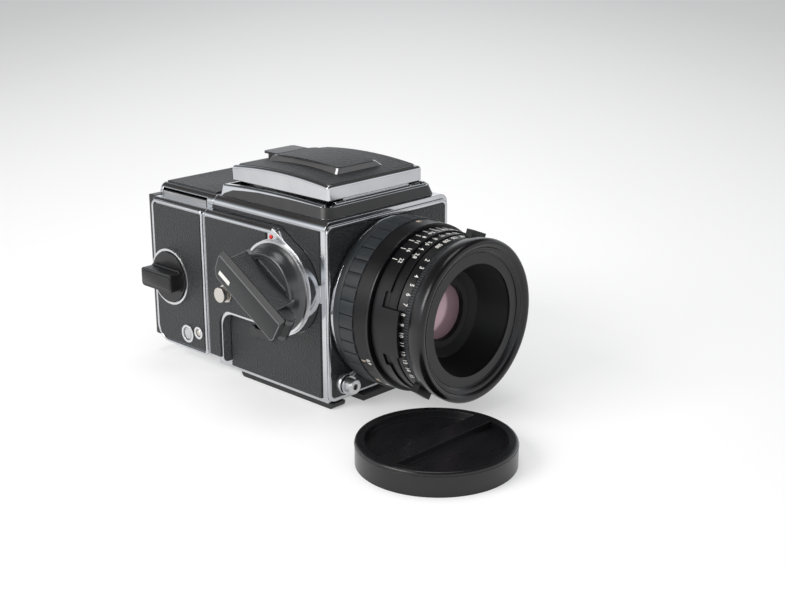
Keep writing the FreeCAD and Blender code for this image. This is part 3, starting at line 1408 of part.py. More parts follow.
body_shell()
mirror_chamber()
body_coverings()
mount_ring()
base_runners()
tripod_plate()
tripod_socket()
strap_lugs()
time_lever()
release_button()
mirror()
flap("upper_flap", (upper_flap_z - "upper_flap_height", upper_flap_z), upper_flap_z)
flap("lower_flap", (frame_bottom, upper_flap_z + 1 - "upper_flap_height" - "flap_gap"), frame_bottom)
focusing_screen()
crank_bezel()
crank_hub()
crank_arm()
takeup_wheel = gears()
finder_base()
finder_lid()
finder_dome()
finder_tab()
side_panel("left_panel", False)
side_panel("right_panel", True)
rear_panel()
magnifier()
magazine_shell()
magazine_top_covering()
magazine_rear_cover()
magazine_release()
dark_slide()
insert_side_plate()
insert_covering()
insert_trim()
film_key()
insert_frame()
pressure_plate()
spool("supply_spool", supply_z, plate_inner - 1)
spool("takeup_spool", takeup_center[1], gear_x_start, takeup_wheel)
film_roll()
lens_flange()
focus_ring()
lens_barrel()
depth_slider()
aperture_ring()
speed_ring()
front_barrel()
name_ring()
front_glass()
rear_cell()
shutter_housing()
for blade_index, blade_angle in blade_places():
    iris_blade(blade_index, blade_angle)
lens_cap()

doc.recompute()
for thing in doc.Objects:
    if "Invalid" in thing.State or "Error" in thing.State:
        raise SystemExit(f"{thing.Name} did not recompute: {thing.State}")
os.makedirs("parts", exist_ok=True)
for thing in NODES:
    if thing.Shape.isNull() or not thing.Shape.isValid():
        raise SystemExit(f"{thing.Label} has no valid shape")
    thing.Shape.exportStep(f"parts/{thing.Label}.step")
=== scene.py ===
import math

import bmesh
import bpy
from mathutils import Matrix, Vector


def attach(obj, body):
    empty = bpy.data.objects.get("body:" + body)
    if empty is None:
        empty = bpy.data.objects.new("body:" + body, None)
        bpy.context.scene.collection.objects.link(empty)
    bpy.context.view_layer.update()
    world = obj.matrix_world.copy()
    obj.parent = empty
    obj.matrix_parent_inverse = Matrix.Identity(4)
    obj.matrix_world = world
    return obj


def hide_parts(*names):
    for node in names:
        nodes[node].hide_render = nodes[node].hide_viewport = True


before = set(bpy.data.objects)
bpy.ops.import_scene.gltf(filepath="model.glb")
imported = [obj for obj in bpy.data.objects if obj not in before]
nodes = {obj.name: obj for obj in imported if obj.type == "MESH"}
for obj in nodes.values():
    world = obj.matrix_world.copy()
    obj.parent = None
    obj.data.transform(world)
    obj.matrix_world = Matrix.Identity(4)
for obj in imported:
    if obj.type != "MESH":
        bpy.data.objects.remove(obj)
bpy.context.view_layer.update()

# Body shell
# The cube body and its raised crank side, one hollow casting with polished chrome on every bare edge.
# The lens flange, the finder and the magazine all seat on it.

MM = 0.001


def shade(name, color, rough, metal=0.0, light=None, cloud=45.0, grain=900.0, relief=0.0, depth=0.0001,
          cells=False, stretch=(1, 1, 1), spread=0.08, edge=0.0, **sockets):
    """A finish whose colour and gloss drift over the surface, with a fine relief and softened edges."""
    mat = bpy.data.materials.new(name)
    mat.use_nodes = True
    tree = mat.node_tree
    node, link = tree.nodes.new, tree.links.new
    bsdf = tree.nodes["Principled BSDF"]
    bsdf.inputs["Metallic"].default_value = metal
    for socket, value in sockets.items():
        bsdf.inputs[socket.replace("_", " ")].default_value = value
    place = node("ShaderNodeTexCoord")
    drift = node("ShaderNodeTexNoise")
    drift.inputs["Scale"].default_value = cloud
    drift.inputs["Detail"].default_value = 6.0
    link(place.outputs["Object"], drift.inputs["Vector"])
    tint = node("ShaderNodeMix")
    tint.data_type = "RGBA"
    tint.inputs[6].default_value = (*color, 1.0)
    tint.inputs[7].default_value = (*(light or [c * 1.25 for c in color]), 1.0)
    link(drift.outputs["Fac"], tint.inputs[0])
    link(tint.outputs[2], bsdf.inputs["Base Color"])
    fine = node("ShaderNodeTexVoronoi" if cells else "ShaderNodeTexNoise")
    fine.inputs["Scale"].default_value = grain
    squeeze = node("ShaderNodeMapping")
    squeeze.inputs["Scale"].default_value = stretch
    link(place.outputs["Object"], squeeze.inputs["Vector"])
    link(squeeze.outputs["Vector"], fine.inputs["Vector"])
    height = fine.outputs["Distance" if cells else "Fac"]
    gloss = node("ShaderNodeMapRange")
    gloss.inputs["To Min"].default_value = rough - spread / 2
    gloss.inputs["To Max"].default_value = rough + spread
    link(drift.outputs["Fac"], gloss.inputs["Value"])
    link(gloss.outputs["Result"], bsdf.inputs["Roughness"])
    bump = node("ShaderNodeBump")
    bump.inputs["Strength"].default_value = relief
    bump.inputs["Distance"].default_value = depth
    link(height, bump.inputs["Height"])
    if edge:
        round_off = node("ShaderNodeBevel")
        round_off.samples = 6
        round_off.inputs["Radius"].default_value = edge * MM
        link(round_off.outputs["Normal"], bump.inputs["Normal"])
    link(bump.outputs["Normal"], bsdf.inputs["Normal"])
    return mat


def dress(mat, *names):
    """Gives a finish to CAD nodes that keep their own shape."""
    for name in names:
        slots = nodes[name].data.materials
        slots.clear()
        slots.append(mat)


# Polished chrome's base colour drifts by a broad noise between dark and bright grey: painted reflections of
# the room around it.
chrome = shade("chrome_polished_painted_reflections", (0.42, 0.43, 0.45), 0.10, 1.0, (0.80, 0.81, 0.83), cloud=32, relief=0.03,
               edge=0.5)
satin_chrome = shade("chrome_satin", (0.66, 0.66, 0.67), 0.28, 1.0, (0.74, 0.74, 0.75), grain=2500,
                     relief=0.08, edge=0.3)
dress(chrome, "body_shell", "body_mount_ring", "lens_flange")
dress(satin_chrome, "crank_bezel", "insert_trim")

# Coverings
# Leather sheets glued into the bare frames of the body, the magazine and the film insert.
# They are black with a fine pebble grain and a low sheen.

leather = shade("leather_black", (0.011, 0.0125, 0.0135), 0.38, 0.0, (0.020, 0.023, 0.024), cloud=22,
                grain=850, relief=1.0, depth=0.00030, cells=True, stretch=(1, 1, 1.5), spread=0.12)
dress(leather, "body_coverings", "magazine_top_covering", "insert_covering")

# Chrome edging
# Narrow raised edges of the castings that frame each leather sheet, half round and brightly polished.
# They are part of the body and of the film insert.


def offset(loop, by):
    """A closed flat loop moved sideways, outwards for a loop that runs anticlockwise."""
    moved = []
    for index, here in enumerate(loop):
        a = Vector(here) - Vector(loop[index - 1])
        b = Vector(loop[(index + 1) % len(loop)]) - Vector(here)
        a, b = a.normalized(), b.normalized()
        mid = Vector((a.y + b.y, -a.x - b.x))
        mid = mid / max(0.5, mid.length_squared / 2)
        moved.append((here[0] + mid.x * by, here[1] + mid.y * by))
    return moved


def rounded_loop(corners, steps=5):
    """A closed loop of corners given as across, up and radius, with each corner rounded."""
    loop = []
    for index, (x, y, radius) in enumerate(corners):
        here = Vector((x, y))
        last = Vector(corners[index - 1][:2])
        after = Vector(corners[(index + 1) % len(corners)][:2])
        a, b = (last - here).normalized(), (after - here).normalized()
        half = a.angle(b) / 2
        reach = radius / math.tan(half)
        center = here + (a + b).normalized() * (radius / math.sin(half))
        start, end = here + a * reach - center, here + b * reach - center
        turn = start.angle_signed(end)
        for step in range(steps + 1):
            spoke = Matrix.Rotation(-turn * step / steps, 2) @ start
            loop.append(tuple(center + spoke))
    return loop


def piece(name, points, faces, body, mat, crease=35, slot=None):
    """One closed piece from points in millimetres, shaded smooth but for its creases, riding on a body."""
    mesh = bpy.data.meshes.new(name)
    mesh.from_pydata([(x * MM, y * MM, z * MM) for x, y, z in points], [], faces)
    shape = bmesh.new()
    shape.from_mesh(mesh)
    bmesh.ops.remove_doubles(shape, verts=shape.verts, dist=0.000001)
    bmesh.ops.recalc_face_normals(shape, faces=shape.faces)
    shape.to_mesh(mesh)
    shape.free()
    mesh.shade_smooth()
    mesh.set_sharp_from_angle(angle=math.radians(crease))
    mesh.materials.append(mat)
    thing = bpy.data.objects.new(name, mesh)
    bpy.context.collection.objects.link(thing)
    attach(thing, body)
    return thing


def skin(loops, closed):
    """Points and faces of a surface over equal loops, closed into a ring of loops or capped at both ends."""
    count = len(loops[0])
    points = [point for loop in loops for point in loop]
    faces = []
    for row in range(len(loops) if closed else len(loops) - 1):
        here, there = row * count, (row + 1) % len(loops) * count
        for index in range(count):
            after = (index + 1) % count
            faces.append((here + index, here + after, there + after, there + index))
    if not closed:
        faces.append(tuple(range(count))[::-1])
        faces.append(tuple(range((len(loops) - 1) * count, len(loops) * count)))
    return points, faces


def box_loop(a0, a1, b0, b1, radius):
    """A closed anticlockwise rectangle with its corners rounded by one radius."""
    return rounded_loop([(a0, b0, radius), (a1, b0, radius), (a1, b1, radius), (a0, b1, radius)])


def edging(name, loop, place, width, height, body, mat, slot="chrome"):
    """A half round edge that follows a flat loop, with place turning across, up and out into a point."""
    section = [(-0.5, -0.1), (-0.5, 0.45), (-0.36, 0.82), (0, 1.0), (0.36, 0.82), (0.5, 0.45), (0.5, -0.1)]
    loops = [[place(a, b, high * height) for a, b in offset(loop, aside * width)] for aside, high in section]
    return piece(name, *skin(loops, True), body, mat, slot=slot)


FRONT, RAISED = -21.5, -47.0
front_loop = box_loop(-39.6, 39.6, 4.3, 86.4, 3.0)
edging("front_edging", front_loop, lambda a, b, out: (a, FRONT - out, b), 2.2, 1.0, "camera_body", chrome)
insert_corners = [(97.0, 9.3, 8.0), (97.0, 82.0, 3.0), (58.2, 82.0, 1.4), (58.2, 9.3, 1.4)]
insert_loop = rounded_loop(insert_corners, 6)
edging("insert_edging", insert_loop, lambda a, b, out: (RAISED - out, a, b), 1.5, 0.95, "film_insert", chrome)

# Small controls, feet and inner works
# Strap lugs, the release, the time lever and the runners, with the gears, spools and plates inside.
# They are turned, pressed or moulded, then left bare, painted or plated, and screwed or pinned in place.

warm_silver = shade("nickel_warm", (0.60, 0.57, 0.53), 0.32, 1.0, (0.70, 0.67, 0.62), grain=1800, relief=0.12,
                    edge=0.4)
black_paint = shade("paint_black", (0.006, 0.006, 0.007), 0.32, 0.0, (0.012, 0.012, 0.013), grain=1400,
                    relief=0.06, edge=0.35, Coat_Weight=0.15, Coat_Roughness=0.3)
black_plastic = shade("plastic_black", (0.006, 0.006, 0.007), 0.30, 0.0, (0.012, 0.012, 0.013), grain=1100,
                      relief=0.10, depth=0.00005, edge=0.4)
steel = shade("steel_plain", (0.45, 0.45, 0.46), 0.34, 1.0, (0.56, 0.56, 0.57), grain=1600, relief=0.15,
              edge=0.3)
brass = shade("brass_cut", (0.62, 0.45, 0.20), 0.33, 1.0, (0.72, 0.55, 0.28), grain=1300, relief=0.12,
              edge=0.2)
dress(warm_silver, "strap_lugs")
dress(satin_chrome, "release_button")
dress(black_paint, "time_lever", "tripod_plate", "upper_flap", "lower_flap", "mirror_chamber",
      "magazine_release")
dress(black_plastic, "base_runners", "supply_spool", "takeup_spool")
dress(steel, "tripod_socket", "dark_slide", "insert_frame", "pressure_plate")
dress(brass, "crank_gear", "idler_gear", "rear_gear", "magazine_gear")
dress(chrome, "insert_side_plate", "magazine_shell")


def turned(name, profile, place, body, mat, steps=128, crease=35, slot=None):
    """A closed solid of revolution from a profile of along and radius, with place giving each point."""
    loops = []
    for step in range(steps):
        angle = 2 * math.pi * step / steps
        loops.append([place(along, radius, angle) for along, radius in profile])
    return piece(name, *skin(loops, True), body, mat, crease=crease, slot=slot)


def eased(profile, radius, steps=3):
    """A profile with every corner rounded by one small radius."""
    return rounded_loop([(a, b, radius) for a, b in profile], steps)


def facing_front(x, z):
    """The place of a point turned round an axis that runs forward from the body's front."""
    return lambda along, radius, angle: (x + radius * math.cos(angle), FRONT - along,
                                         z + radius * math.sin(angle))


RELEASE_X, RELEASE_Z = -31, 11.1
about_release = facing_front(RELEASE_X, RELEASE_Z)
for number, along in enumerate((7.15, 7.9)):
    ridge = eased([(along, 3.1), (along + 0.45, 3.1), (along + 0.45, 3.5), (along, 3.5)], 0.12)
    turned(f"release_ridge_{number + 1}", ridge, about_release, "release", satin_chrome, 48, slot="chrome")
turned("release_collar", eased([(0.4, 3.45), (3.0, 3.45), (3.0, 4.7), (0.4, 5.2)], 0.3), about_release,
       "camera_body", satin_chrome, 64, slot="chrome")

# Finder base skins
# Black painted bands round the front and the sides of the finder's base, below its polished upper edge.
# Thin sheets laid into the casting.

band_paint = shade("paint_band", (0.016, 0.016, 0.017), 0.38, 0.0, (0.036, 0.035, 0.034), cloud=160,
                   grain=1900, relief=0.5, depth=0.00008)
BAND_TOPS = [(-19, 94.1), (-10, 94.3), (10, 94.5), (33, 94.1), (48, 92.6), (54.2, 90.2)]
BASE_LOW, BASE_RISE, BASE_LEAN = 89.4, 6.3, 2.0
BASE_HALF, BASE_NOSE, BASE_CORNER = 36.5, -18.5, 5.0


def band_top(y):
    """Height of the boundary between the band and the polished edge at a place along the finder."""
    for (a, low), (b, high) in zip(BAND_TOPS, BAND_TOPS[1:]):
        if y <= b:
            return low + (high - low) * max(0.0, (y - a) / (b - a))
    return BAND_TOPS[-1][1]


def slope_out(high):
    """How far the base's sides lean in at a height."""
    return (high - BASE_LOW) / BASE_RISE * BASE_LEAN


def around_base(high, out):
    """Points round three sides of the base at the band's upper or lower boundary, moved outwards."""
    path = []
    half, nose, corner = BASE_HALF + out, BASE_NOSE - out, BASE_CORNER
    for sign in (-1, 1):
        side_run = [(sign * half, y) for y in (54, 48, 40, 30, 20, 10, 0, -8)]
        bend = [(sign * (half - corner + corner * math.cos(t)), nose + corner - corner * math.sin(t))
                for t in (0, 0.2, 0.4, 0.6, 0.8, 1.0, 1.2, 1.4, math.pi / 2)]
        path += side_run + bend if sign < 0 else (side_run + bend)[::-1]
    points = []
    for x, y in path:
        z = band_top(y) if high else BASE_LOW + 0.1
        lean = slope_out(z)
        points.append((x * (1 - lean / half), y + lean * max(0.0, min(1.0, (-8 - y) / 6)), z))
    return points


band_sides = ((False, 0.22), (True, 0.22), (True, -0.4), (False, -0.4))
band_edges = [around_base(high, out) for high, out in band_sides]
strip = [list(section) for section in zip(*band_edges)]
piece("finder_band", *skin(strip, False), "camera_body", band_paint, slot="black_paint")

# Finder lid
# A hinged pressed cover with polished skirt, a leather sheet on its arched top and a raised leather dome.
# The black plate at its rear is the opening tab.


def arch(top, radius, middle):
    """Height along an arched surface that peaks at its middle."""
    return lambda y: top - radius + math.sqrt(radius ** 2 - (y - middle) ** 2)


def lid_sheet(name, sides, ends, corner, height, thick=0.3, edge=0.25, columns=24):
    """A thin leather sheet over an arched part of the lid, cut to a rectangle with rounded corners."""
    (x0, x1), (y0, y1) = sides, ends
    rows = []
    for index in range(columns + 1):
        y = y0 + (y1 - y0) * index / columns
        inset = 0.0
        for near in (y - y0, y1 - y):
            if near < corner:
                inset = max(inset, corner - math.sqrt(max(0.0, corner ** 2 - (corner - near) ** 2)))
        a, b, z = x0 + inset, x1 - inset, height(y)
        top = z + thick
        rows.append([(a, y, z - thick), (a, y, top - edge), (a + edge, y, top), (0, y, top),
                     (b - edge, y, top), (b, y, top - edge), (b, y, z - thick)])
    return piece(name, *skin(rows, False), "lid", leather, slot="leather")


dress(chrome, "finder_base", "finder_lid")
dress(satin_chrome, "finder_dome")
dress(black_paint, "finder_tab")
lid_sheet("lid_leather", (-29.6, 29.6), (-12.5, 52.4), 2.5, arch(105.4, 262, 20.5))
lid_sheet("dome_leather", (-12.7, 12.7), (-1.3, 43.2), 2.0, arch(108.0, 218, 22))

# Winding crank
# A satin black knob with a hollowed side, a ribbed grip block and a fold-out plate with a pale mark.
# It turns in a chrome bezel, and a red dot beside it marks its resting place.

CRANK_Y, CRANK_Z = 5, 55.5
TILT = math.radians(31)
bright_mark = shade("paint_white", (0.72, 0.71, 0.68), 0.45, 0.0, (0.80, 0.79, 0.76), relief=0.05)
cream_mark = shade("paint_cream", (0.62, 0.50, 0.38), 0.45, 0.0, (0.70, 0.58, 0.46), relief=0.05)
red_mark = shade("paint_red", (0.55, 0.015, 0.012), 0.35, 0.0, (0.70, 0.03, 0.02), relief=0.05)
crank_black = shade("plastic_crank", (0.020, 0.022, 0.024), 0.24, 0.0, (0.038, 0.040, 0.044), grain=1500,
                    relief=0.05, edge=0.3, Specular_IOR_Level=0.9)
plate_black = shade("paint_plate", (0.009, 0.010, 0.011), 0.40, 0.0, (0.016, 0.017, 0.018), grain=2200,
                    relief=0.25, depth=0.00005, edge=0.3)


def facing_side(y, z):
    """The place of a point turned round an axis that runs out of the raised side."""
    return lambda along, radius, angle: (RAISED - along, y + radius * math.cos(angle),
                                         z + radius * math.sin(angle))


def on_crank(out, ahead, across):
    """A point from its distance out, its run up the tilted grip and its place across it."""
    return (RAISED - out, CRANK_Y + ahead * math.cos(TILT) - across * math.sin(TILT),
            CRANK_Z + ahead * math.sin(TILT) + across * math.cos(TILT))


def slab(name, loop, low, high, place, body, mat, bevel=0.3, slot=None):
    """A plate of a flat anticlockwise loop between two heights, with its outer edges bevelled."""
    levels = [(0, low), (0, high - bevel), (-bevel * 0.3, high - bevel * 0.3), (-bevel, high)]
    loops = [[place(out, a, b) for a, b in offset(loop, aside)] for aside, out in levels]
    return piece(name, *skin(loops, False), body, mat, slot=slot)


dress(crank_black, "crank_hub")
dress(plate_black, "crank_arm")
knob_side = [(0.2, 20.0), (0.2, 21.3), (1.0, 21.5), (1.7, 21.0), (2.2, 20.0), (3.6, 19.1), (5.2, 18.4),
             (6.4, 18.0), (7.2, 18.0), (7.7, 17.6), (7.8, 16.9), (7.5, 16.0), (6.9, 15.4), (6.0, 15.2),
             (4.0, 15.0)]
turned("crank_knob", knob_side, facing_side(CRANK_Y, CRANK_Z), "crank", crank_black, 160, crease=60,
       slot="black_plastic")
plate_loop = rounded_loop([(-23.8, -6.8, 2.0), (20.2, -6.8, 0.8), (22.9, -3.5, 0.8), (23.9, 4.4, 1.0),
                           (-23.8, 4.4, 1.0)])
slab("crank_plate", offset(plate_loop, -0.45), 18.2, 18.75, on_crank, "crank_arm", plate_black, 0.2,
     slot="black_paint")
# The plate's rim is mid grey below the black-painted plate: a painted highlight along its edge.
painted_edge_highlight = shade("paint_edge_highlight", (0.10, 0.105, 0.11), 0.35, 0.0, (0.17, 0.175, 0.18), grain=1800, relief=0.1)
slab("crank_plate_edge", plate_loop, 17.9, 18.6, on_crank, "crank_arm", painted_edge_highlight, 0.2, slot="black_paint")
slab("crank_mark", box_loop(11.2, 19.5, -3.8, -1.6, 0.4), 18.6, 19.0, on_crank, "crank_arm", bright_mark, 0.1,
     slot="chrome")
turned("index_dot", [(-0.3, 0.01), (0.75, 0.01), (0.7, 0.6), (0.4, 1.0), (-0.3, 1.05)],
       facing_side(7.8, 79.1), "camera_body", red_mark, 24, slot="chrome")

repeat = bpy.data.node_groups.new("repeat_along", "GeometryNodeTree")
for label, kind in (("Item", "NodeSocketObject"), ("Count", "NodeSocketInt"), ("Start", "NodeSocketVector"),
                    ("Turn", "NodeSocketVector"), ("Step", "NodeSocketVector"),
                    ("Centre", "NodeSocketVector"), ("Finish", "NodeSocketMaterial")):
    repeat.interface.new_socket(label, in_out="INPUT", socket_type=kind)
repeat.interface.new_socket("Geometry", in_out="OUTPUT", socket_type="NodeSocketGeometry")


def repeat_nodes():
    """Points that each carry one copy of the item, turned and stepped once more than the last."""
    new, link = repeat.nodes.new, repeat.links.new
    given, result = new("NodeGroupInput"), new("NodeGroupOutput")
    points, index = new("GeometryNodePoints"), new("GeometryNodeInputIndex")
    item, stamp = new("GeometryNodeObjectInfo"), new("GeometryNodeInstanceOnPoints")
    real, paint = new("GeometryNodeRealizeInstances"), new("GeometryNodeSetMaterial")
    spot, spin, turn, shift = (new("ShaderNodeVectorMath") for _ in range(4))
    spot.operation = spin.operation = "SCALE"
    turn.operation = shift.operation = "ADD"
    link(given.outputs["Count"], points.inputs["Count"])
    link(given.outputs["Step"], spot.inputs[0])
    link(index.outputs[0], spot.inputs["Scale"])
    link(spot.outputs[0], shift.inputs[0])
    link(given.outputs["Centre"], shift.inputs[1])
    link(shift.outputs[0], points.inputs["Position"])
    link(given.outputs["Turn"], spin.inputs[0])
    link(index.outputs[0], spin.inputs["Scale"])
    link(spin.outputs[0], turn.inputs[0])
    link(given.outputs["Start"], turn.inputs[1])
    link(given.outputs["Item"], item.inputs["Object"])
    link(points.outputs[0], stamp.inputs["Points"])
    link(item.outputs["Geometry"], stamp.inputs["Instance"])
    link(turn.outputs[0], stamp.inputs["Rotation"])
    link(stamp.outputs[0], real.inputs[0])
    link(real.outputs[0], paint.inputs["Geometry"])
    link(given.outputs["Finish"], paint.inputs["Material"])
    link(paint.outputs[0], result.inputs[0])


repeat_nodes()


def repeated(name, item, count, body, mat, start=(0, 0, 0), turn=(0, 0, 0), step=(0, 0, 0),
             centre=(0, 0, 0)):
    """Copies an item of points and faces in millimetres by the node group, and keeps the plain mesh."""
    points, faces = item
    mesh = bpy.data.meshes.new(name + "_item")
    mesh.from_pydata([(x * MM, y * MM, z * MM) for x, y, z in points], [], faces)
    shape = bmesh.new()
    shape.from_mesh(mesh)
    bmesh.ops.recalc_face_normals(shape, faces=shape.faces)
    shape.to_mesh(mesh)
    shape.free()
    one = bpy.data.objects.new(name + "_item", mesh)
    holder = bpy.data.objects.new(name + "_holder", bpy.data.meshes.new(name + "_holder"))
    bpy.context.collection.objects.link(holder)
    bpy.context.collection.objects.link(one)
    modifier = holder.modifiers.new("repeat", "NODES")
    modifier.node_group = repeat
    values = {"Item": one, "Count": count, "Start": start, "Turn": turn, "Step": [v * MM for v in step],
              "Centre": [v * MM for v in centre], "Finish": mat}
    for socket in repeat.interface.items_tree:
        if socket.name in values:
            modifier[socket.identifier] = values[socket.name]
    made = bpy.data.meshes.new_from_object(holder.evaluated_get(bpy.context.evaluated_depsgraph_get()))
    made.name = name
    made.shade_smooth()
    made.set_sharp_from_angle(angle=math.radians(35))
    bpy.data.objects.remove(holder)
    bpy.data.objects.remove(one)
    thing = bpy.data.objects.new(name, made)
    bpy.context.collection.objects.link(thing)
    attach(thing, body)
    return thing


def grip_half(out):
    """Half the grip block's width at a distance out from the raised side."""
    return 6.0 + 3.0 * (16.3 - out) / 10.6


RIB_LOW, RIB_PITCH, RIB_COUNT = 7.4, 0.86, 41
rib_ridge = ((-0.3, -0.3), (-0.3, 0.1), (0, 0.4), (0.3, 0.1), (0.3, -0.3))
for number, side in enumerate((1, -1)):
    rib = [[(-out, y, side * (grip_half(out + RIB_LOW) + rise)) for y, rise in rib_ridge]
           for out in (0.3, 8.6)]
    grow = [b - a for a, b in zip(on_crank(0, 0, 0), on_crank(0, RIB_PITCH, 0))]
    repeated(f"crank_ribs_{number + 1}", skin(rib, False), RIB_COUNT, "crank", crank_black,
             start=(TILT, 0, 0), step=grow, centre=on_crank(RIB_LOW, -16.2, 0))

# Film insert fittings
# The key that turns the film, the frame counter window and the wind signal, each in a bright ring.
# All sit on the insert's leather side.

dress(black_plastic, "film_key")
for name, loop, low, high in (("key_step", box_loop(72.3, 95.7, 39.0, 50.4, 2.2), 2.7, 4.4),
                              ("key_top", box_loop(72.4, 95.6, 41.2, 48.2, 1.6), 9.9, 10.7)):
    slab(name, loop, low, high, lambda out, a, b: (RAISED - out, a, b), "film_key", black_plastic, 0.5,
         slot="black_plastic")
window = shade("window_clear", (0.34, 0.35, 0.36), 0.10, 0.0, (0.50, 0.51, 0.52), cloud=260, relief=0.02,
               Coat_Weight=1.0, Coat_Roughness=0.05)
for label, y, z, radius in (("counter", 72.8, 16.9, 3.3), ("signal", 64.0, 19.3, 1.95)):
    dome = [(0.1, 0.01), (0.95, 0.01), (0.9, radius * 0.55), (0.6, radius * 0.9), (0.1, radius)]
    turned(f"{label}_window", dome, facing_side(y, z), "film_insert",
           window if label == "counter" else warm_silver, 48, crease=60, slot="glass")
dress(black_plastic, "magazine_rear_cover")

# Lens focusing ring
# A black anodised ring with moulded rubber pads round its grip and two rows of painted distances in front.
# It turns on the lens mount's sleeve and carries the lens forward.

LENS = 46.05
LENS_CENTRE = (0, FRONT, LENS)
RING_STEPS = 192
about_lens = facing_front(0, LENS)
rubber = shade("rubber_grip", (0.012, 0.015, 0.018), 0.44, 0.0, (0.021, 0.026, 0.030), cloud=70, grain=1700,
               relief=0.25, depth=0.00006, spread=0.12, edge=0.35)
anodised = shade("aluminium_black", (0.004, 0.004, 0.005), 0.32, 0.08, (0.008, 0.008, 0.009),
                 Specular_IOR_Level=0.35, grain=2400, relief=0.12, depth=0.00004, stretch=(1, 6, 1), edge=0.2)
front_black = shade("aluminium_front", (0.005, 0.005, 0.006), 0.22, 0.10, (0.010, 0.009, 0.010), grain=2600,
                    relief=0.08, depth=0.00004, edge=0.25)
dress(anodised, "focus_ring", "lens_barrel", "aperture_ring", "depth_slider", "speed_ring")


def ring_block(angle, reach, low, high, ends, ease, steps=6):
    """A block lying on a ring, with its length along the lens and its outer edges drawn in."""
    rows = []
    a, b = ends
    for index in range(steps + 1):
        turn = -reach + 2 * reach * index / steps
        top = high - (ease if index in (0, steps) else 0)
        side = ((a, low), (a, top - ease), (a + ease, top), (b - ease, top), (b, top - ease), (b, low))
        rows.append([(along, radius, angle + turn) for along, radius in side])
    points, faces = skin(rows, False)
    return [(radius * math.cos(t), -along, radius * math.sin(t)) for along, radius, t in points], faces


def around_lens(name, block, count, body, mat):
    """Copies a block all the way round the lens."""
    repeated(name, block, count, body, mat, turn=(0, 2 * math.pi / count, 0), centre=LENS_CENTRE)


around_lens("grip_pads", ring_block(0.08, 0.0745, 39.7, 40.6, (7.8, 16.2), 0.25), 39, "focus", rubber)
turned("grip_band", eased([(3.7, 39.0), (7.5, 39.0), (7.5, 40.3), (3.7, 40.15)], 0.2), about_lens, "focus",
       rubber, RING_STEPS, slot="rubber")
turned("scale_rim", eased([(23.6, 38.5), (24.95, 38.5), (24.95, 39.75), (23.6, 39.85)], 0.25), about_lens,
       "focus", front_black, RING_STEPS, slot="black_anodised")
LETTER_SIZE, LETTER_WIDTH = 1.37, 0.82


def figures(name, entries, along, radius, height, body, mat, slot="chrome"):
    """Painted numbers round a ring, read with rising angle and with their tops towards the front."""
    points, faces = [], []
    for text, angle in entries:
        curve = bpy.data.curves.new(name, "FONT")
        curve.body = text
        curve.size = height * MM * LETTER_SIZE
        curve.offset = 0.03 * MM
        curve.align_x = "CENTER"
        curve.align_y = "CENTER"
        curve.extrude = 0.10 * MM
        curve.resolution_u = 3
        source = bpy.data.objects.new(name, curve)
        bpy.context.collection.objects.link(source)
        flat = bpy.data.meshes.new_from_object(source.evaluated_get(bpy.context.evaluated_depsgraph_get()))
        start = len(points)
        for vertex in flat.vertices:
            x, y, z = (value / MM for value in vertex.co)
            here = radius(along + y) if callable(radius) else radius
            points.append(about_lens(along + y, here + z, math.radians(angle) + x * LETTER_WIDTH / here))
        faces += [tuple(start + index for index in face.vertices) for face in flat.polygons]
        bpy.data.objects.remove(source)
        bpy.data.meshes.remove(flat)
    return piece(name, points, faces, body, mat, slot=slot)


def ticks(name, entries, radius, width, body, mat, slot="chrome"):
    """Painted lines along a ring's length, each given by its angle and its two ends."""
    points, faces = [], []
    for angle, start, end in entries:
        first = len(points)
        for along in (start, end):
            here = radius(along) if callable(radius) else radius
            for side, rise in ((-1, -0.1), (1, -0.1), (1, 0.08), (-1, 0.08)):
                points.append(about_lens(along, here + rise, math.radians(angle) + side * width / 2 / here))
        faces += [tuple(first + index for index in face) for face in
                  ((0, 1, 2, 3), (4, 5, 6, 7), (0, 1, 5, 4), (1, 2, 6, 5), (2, 3, 7, 6), (3, 0, 4, 7))]
    return piece(name, points, faces, body, mat, slot=slot)


def scale_radius(along):
    return 40.0 - 0.4 * (along - 16.5) / 8.4


def spread_out(texts, start, step):
    """Each of some figures with its angle, starting at one angle and going on by even steps."""
    return [(text, start + step * index) for index, text in enumerate(texts.split())]


metres = spread_out("0.9 1 1.2 1.5 2 2.5 3 5 10", 207, 27)
feet = spread_out("3 3.5 4 5 6 7 8 10 15 20 30 50", 207, 22)
figures("metre_figures", metres, 21.6, scale_radius, 2.3, "focus", bright_mark)
figures("feet_figures", feet, 18.4, scale_radius, 2.2, "focus", cream_mark)

# Lens barrel and setting rings
# Black anodised rings with painted numbers for depth of field, aperture, exposure value and speed.
# Each turns on the barrel behind the front ring.

DEPTH_RADIUS, APERTURE_RADIUS = 37.8, 36.9
depth_marks = ((4.5, "5.6"), (12, "8"), (19, "11"), (28, "16"), (38, "22"))
depths = [(text, 90 + sign * turn + 2 * sign) for turn, text in depth_marks for sign in (-1, 1)]
figures("depth_figures", depths, 30.9, DEPTH_RADIUS, 2.3, "lens", bright_mark)
depth_lines = [(angle, 25.8, 28.9) for text, angle in depths] + [(90, 25.8, 32.6)]
ticks("depth_ticks", depth_lines, DEPTH_RADIUS, 0.32, "lens", bright_mark)
apertures = spread_out("2.8 4 5.6 8 11 16 22", 122.5, -7.2)
aperture_lines = [(angle, 33.7, 34.2) for text, angle in apertures]
figures("aperture_figures", apertures, 35.7, APERTURE_RADIUS, 2.3, "aperture", bright_mark)
ticks("aperture_ticks", aperture_lines, APERTURE_RADIUS, 0.3, "aperture", bright_mark)
aperture_rib = ring_block(0, 0.0075, 36.6, 37.05, (37.4, 38.5), 0.1, 2)
around_lens("aperture_ribs", aperture_rib, 150, "aperture", anodised)


def speed_radius(along):
    return 36.55 - 0.45 * (along - 39.1) / 4.3


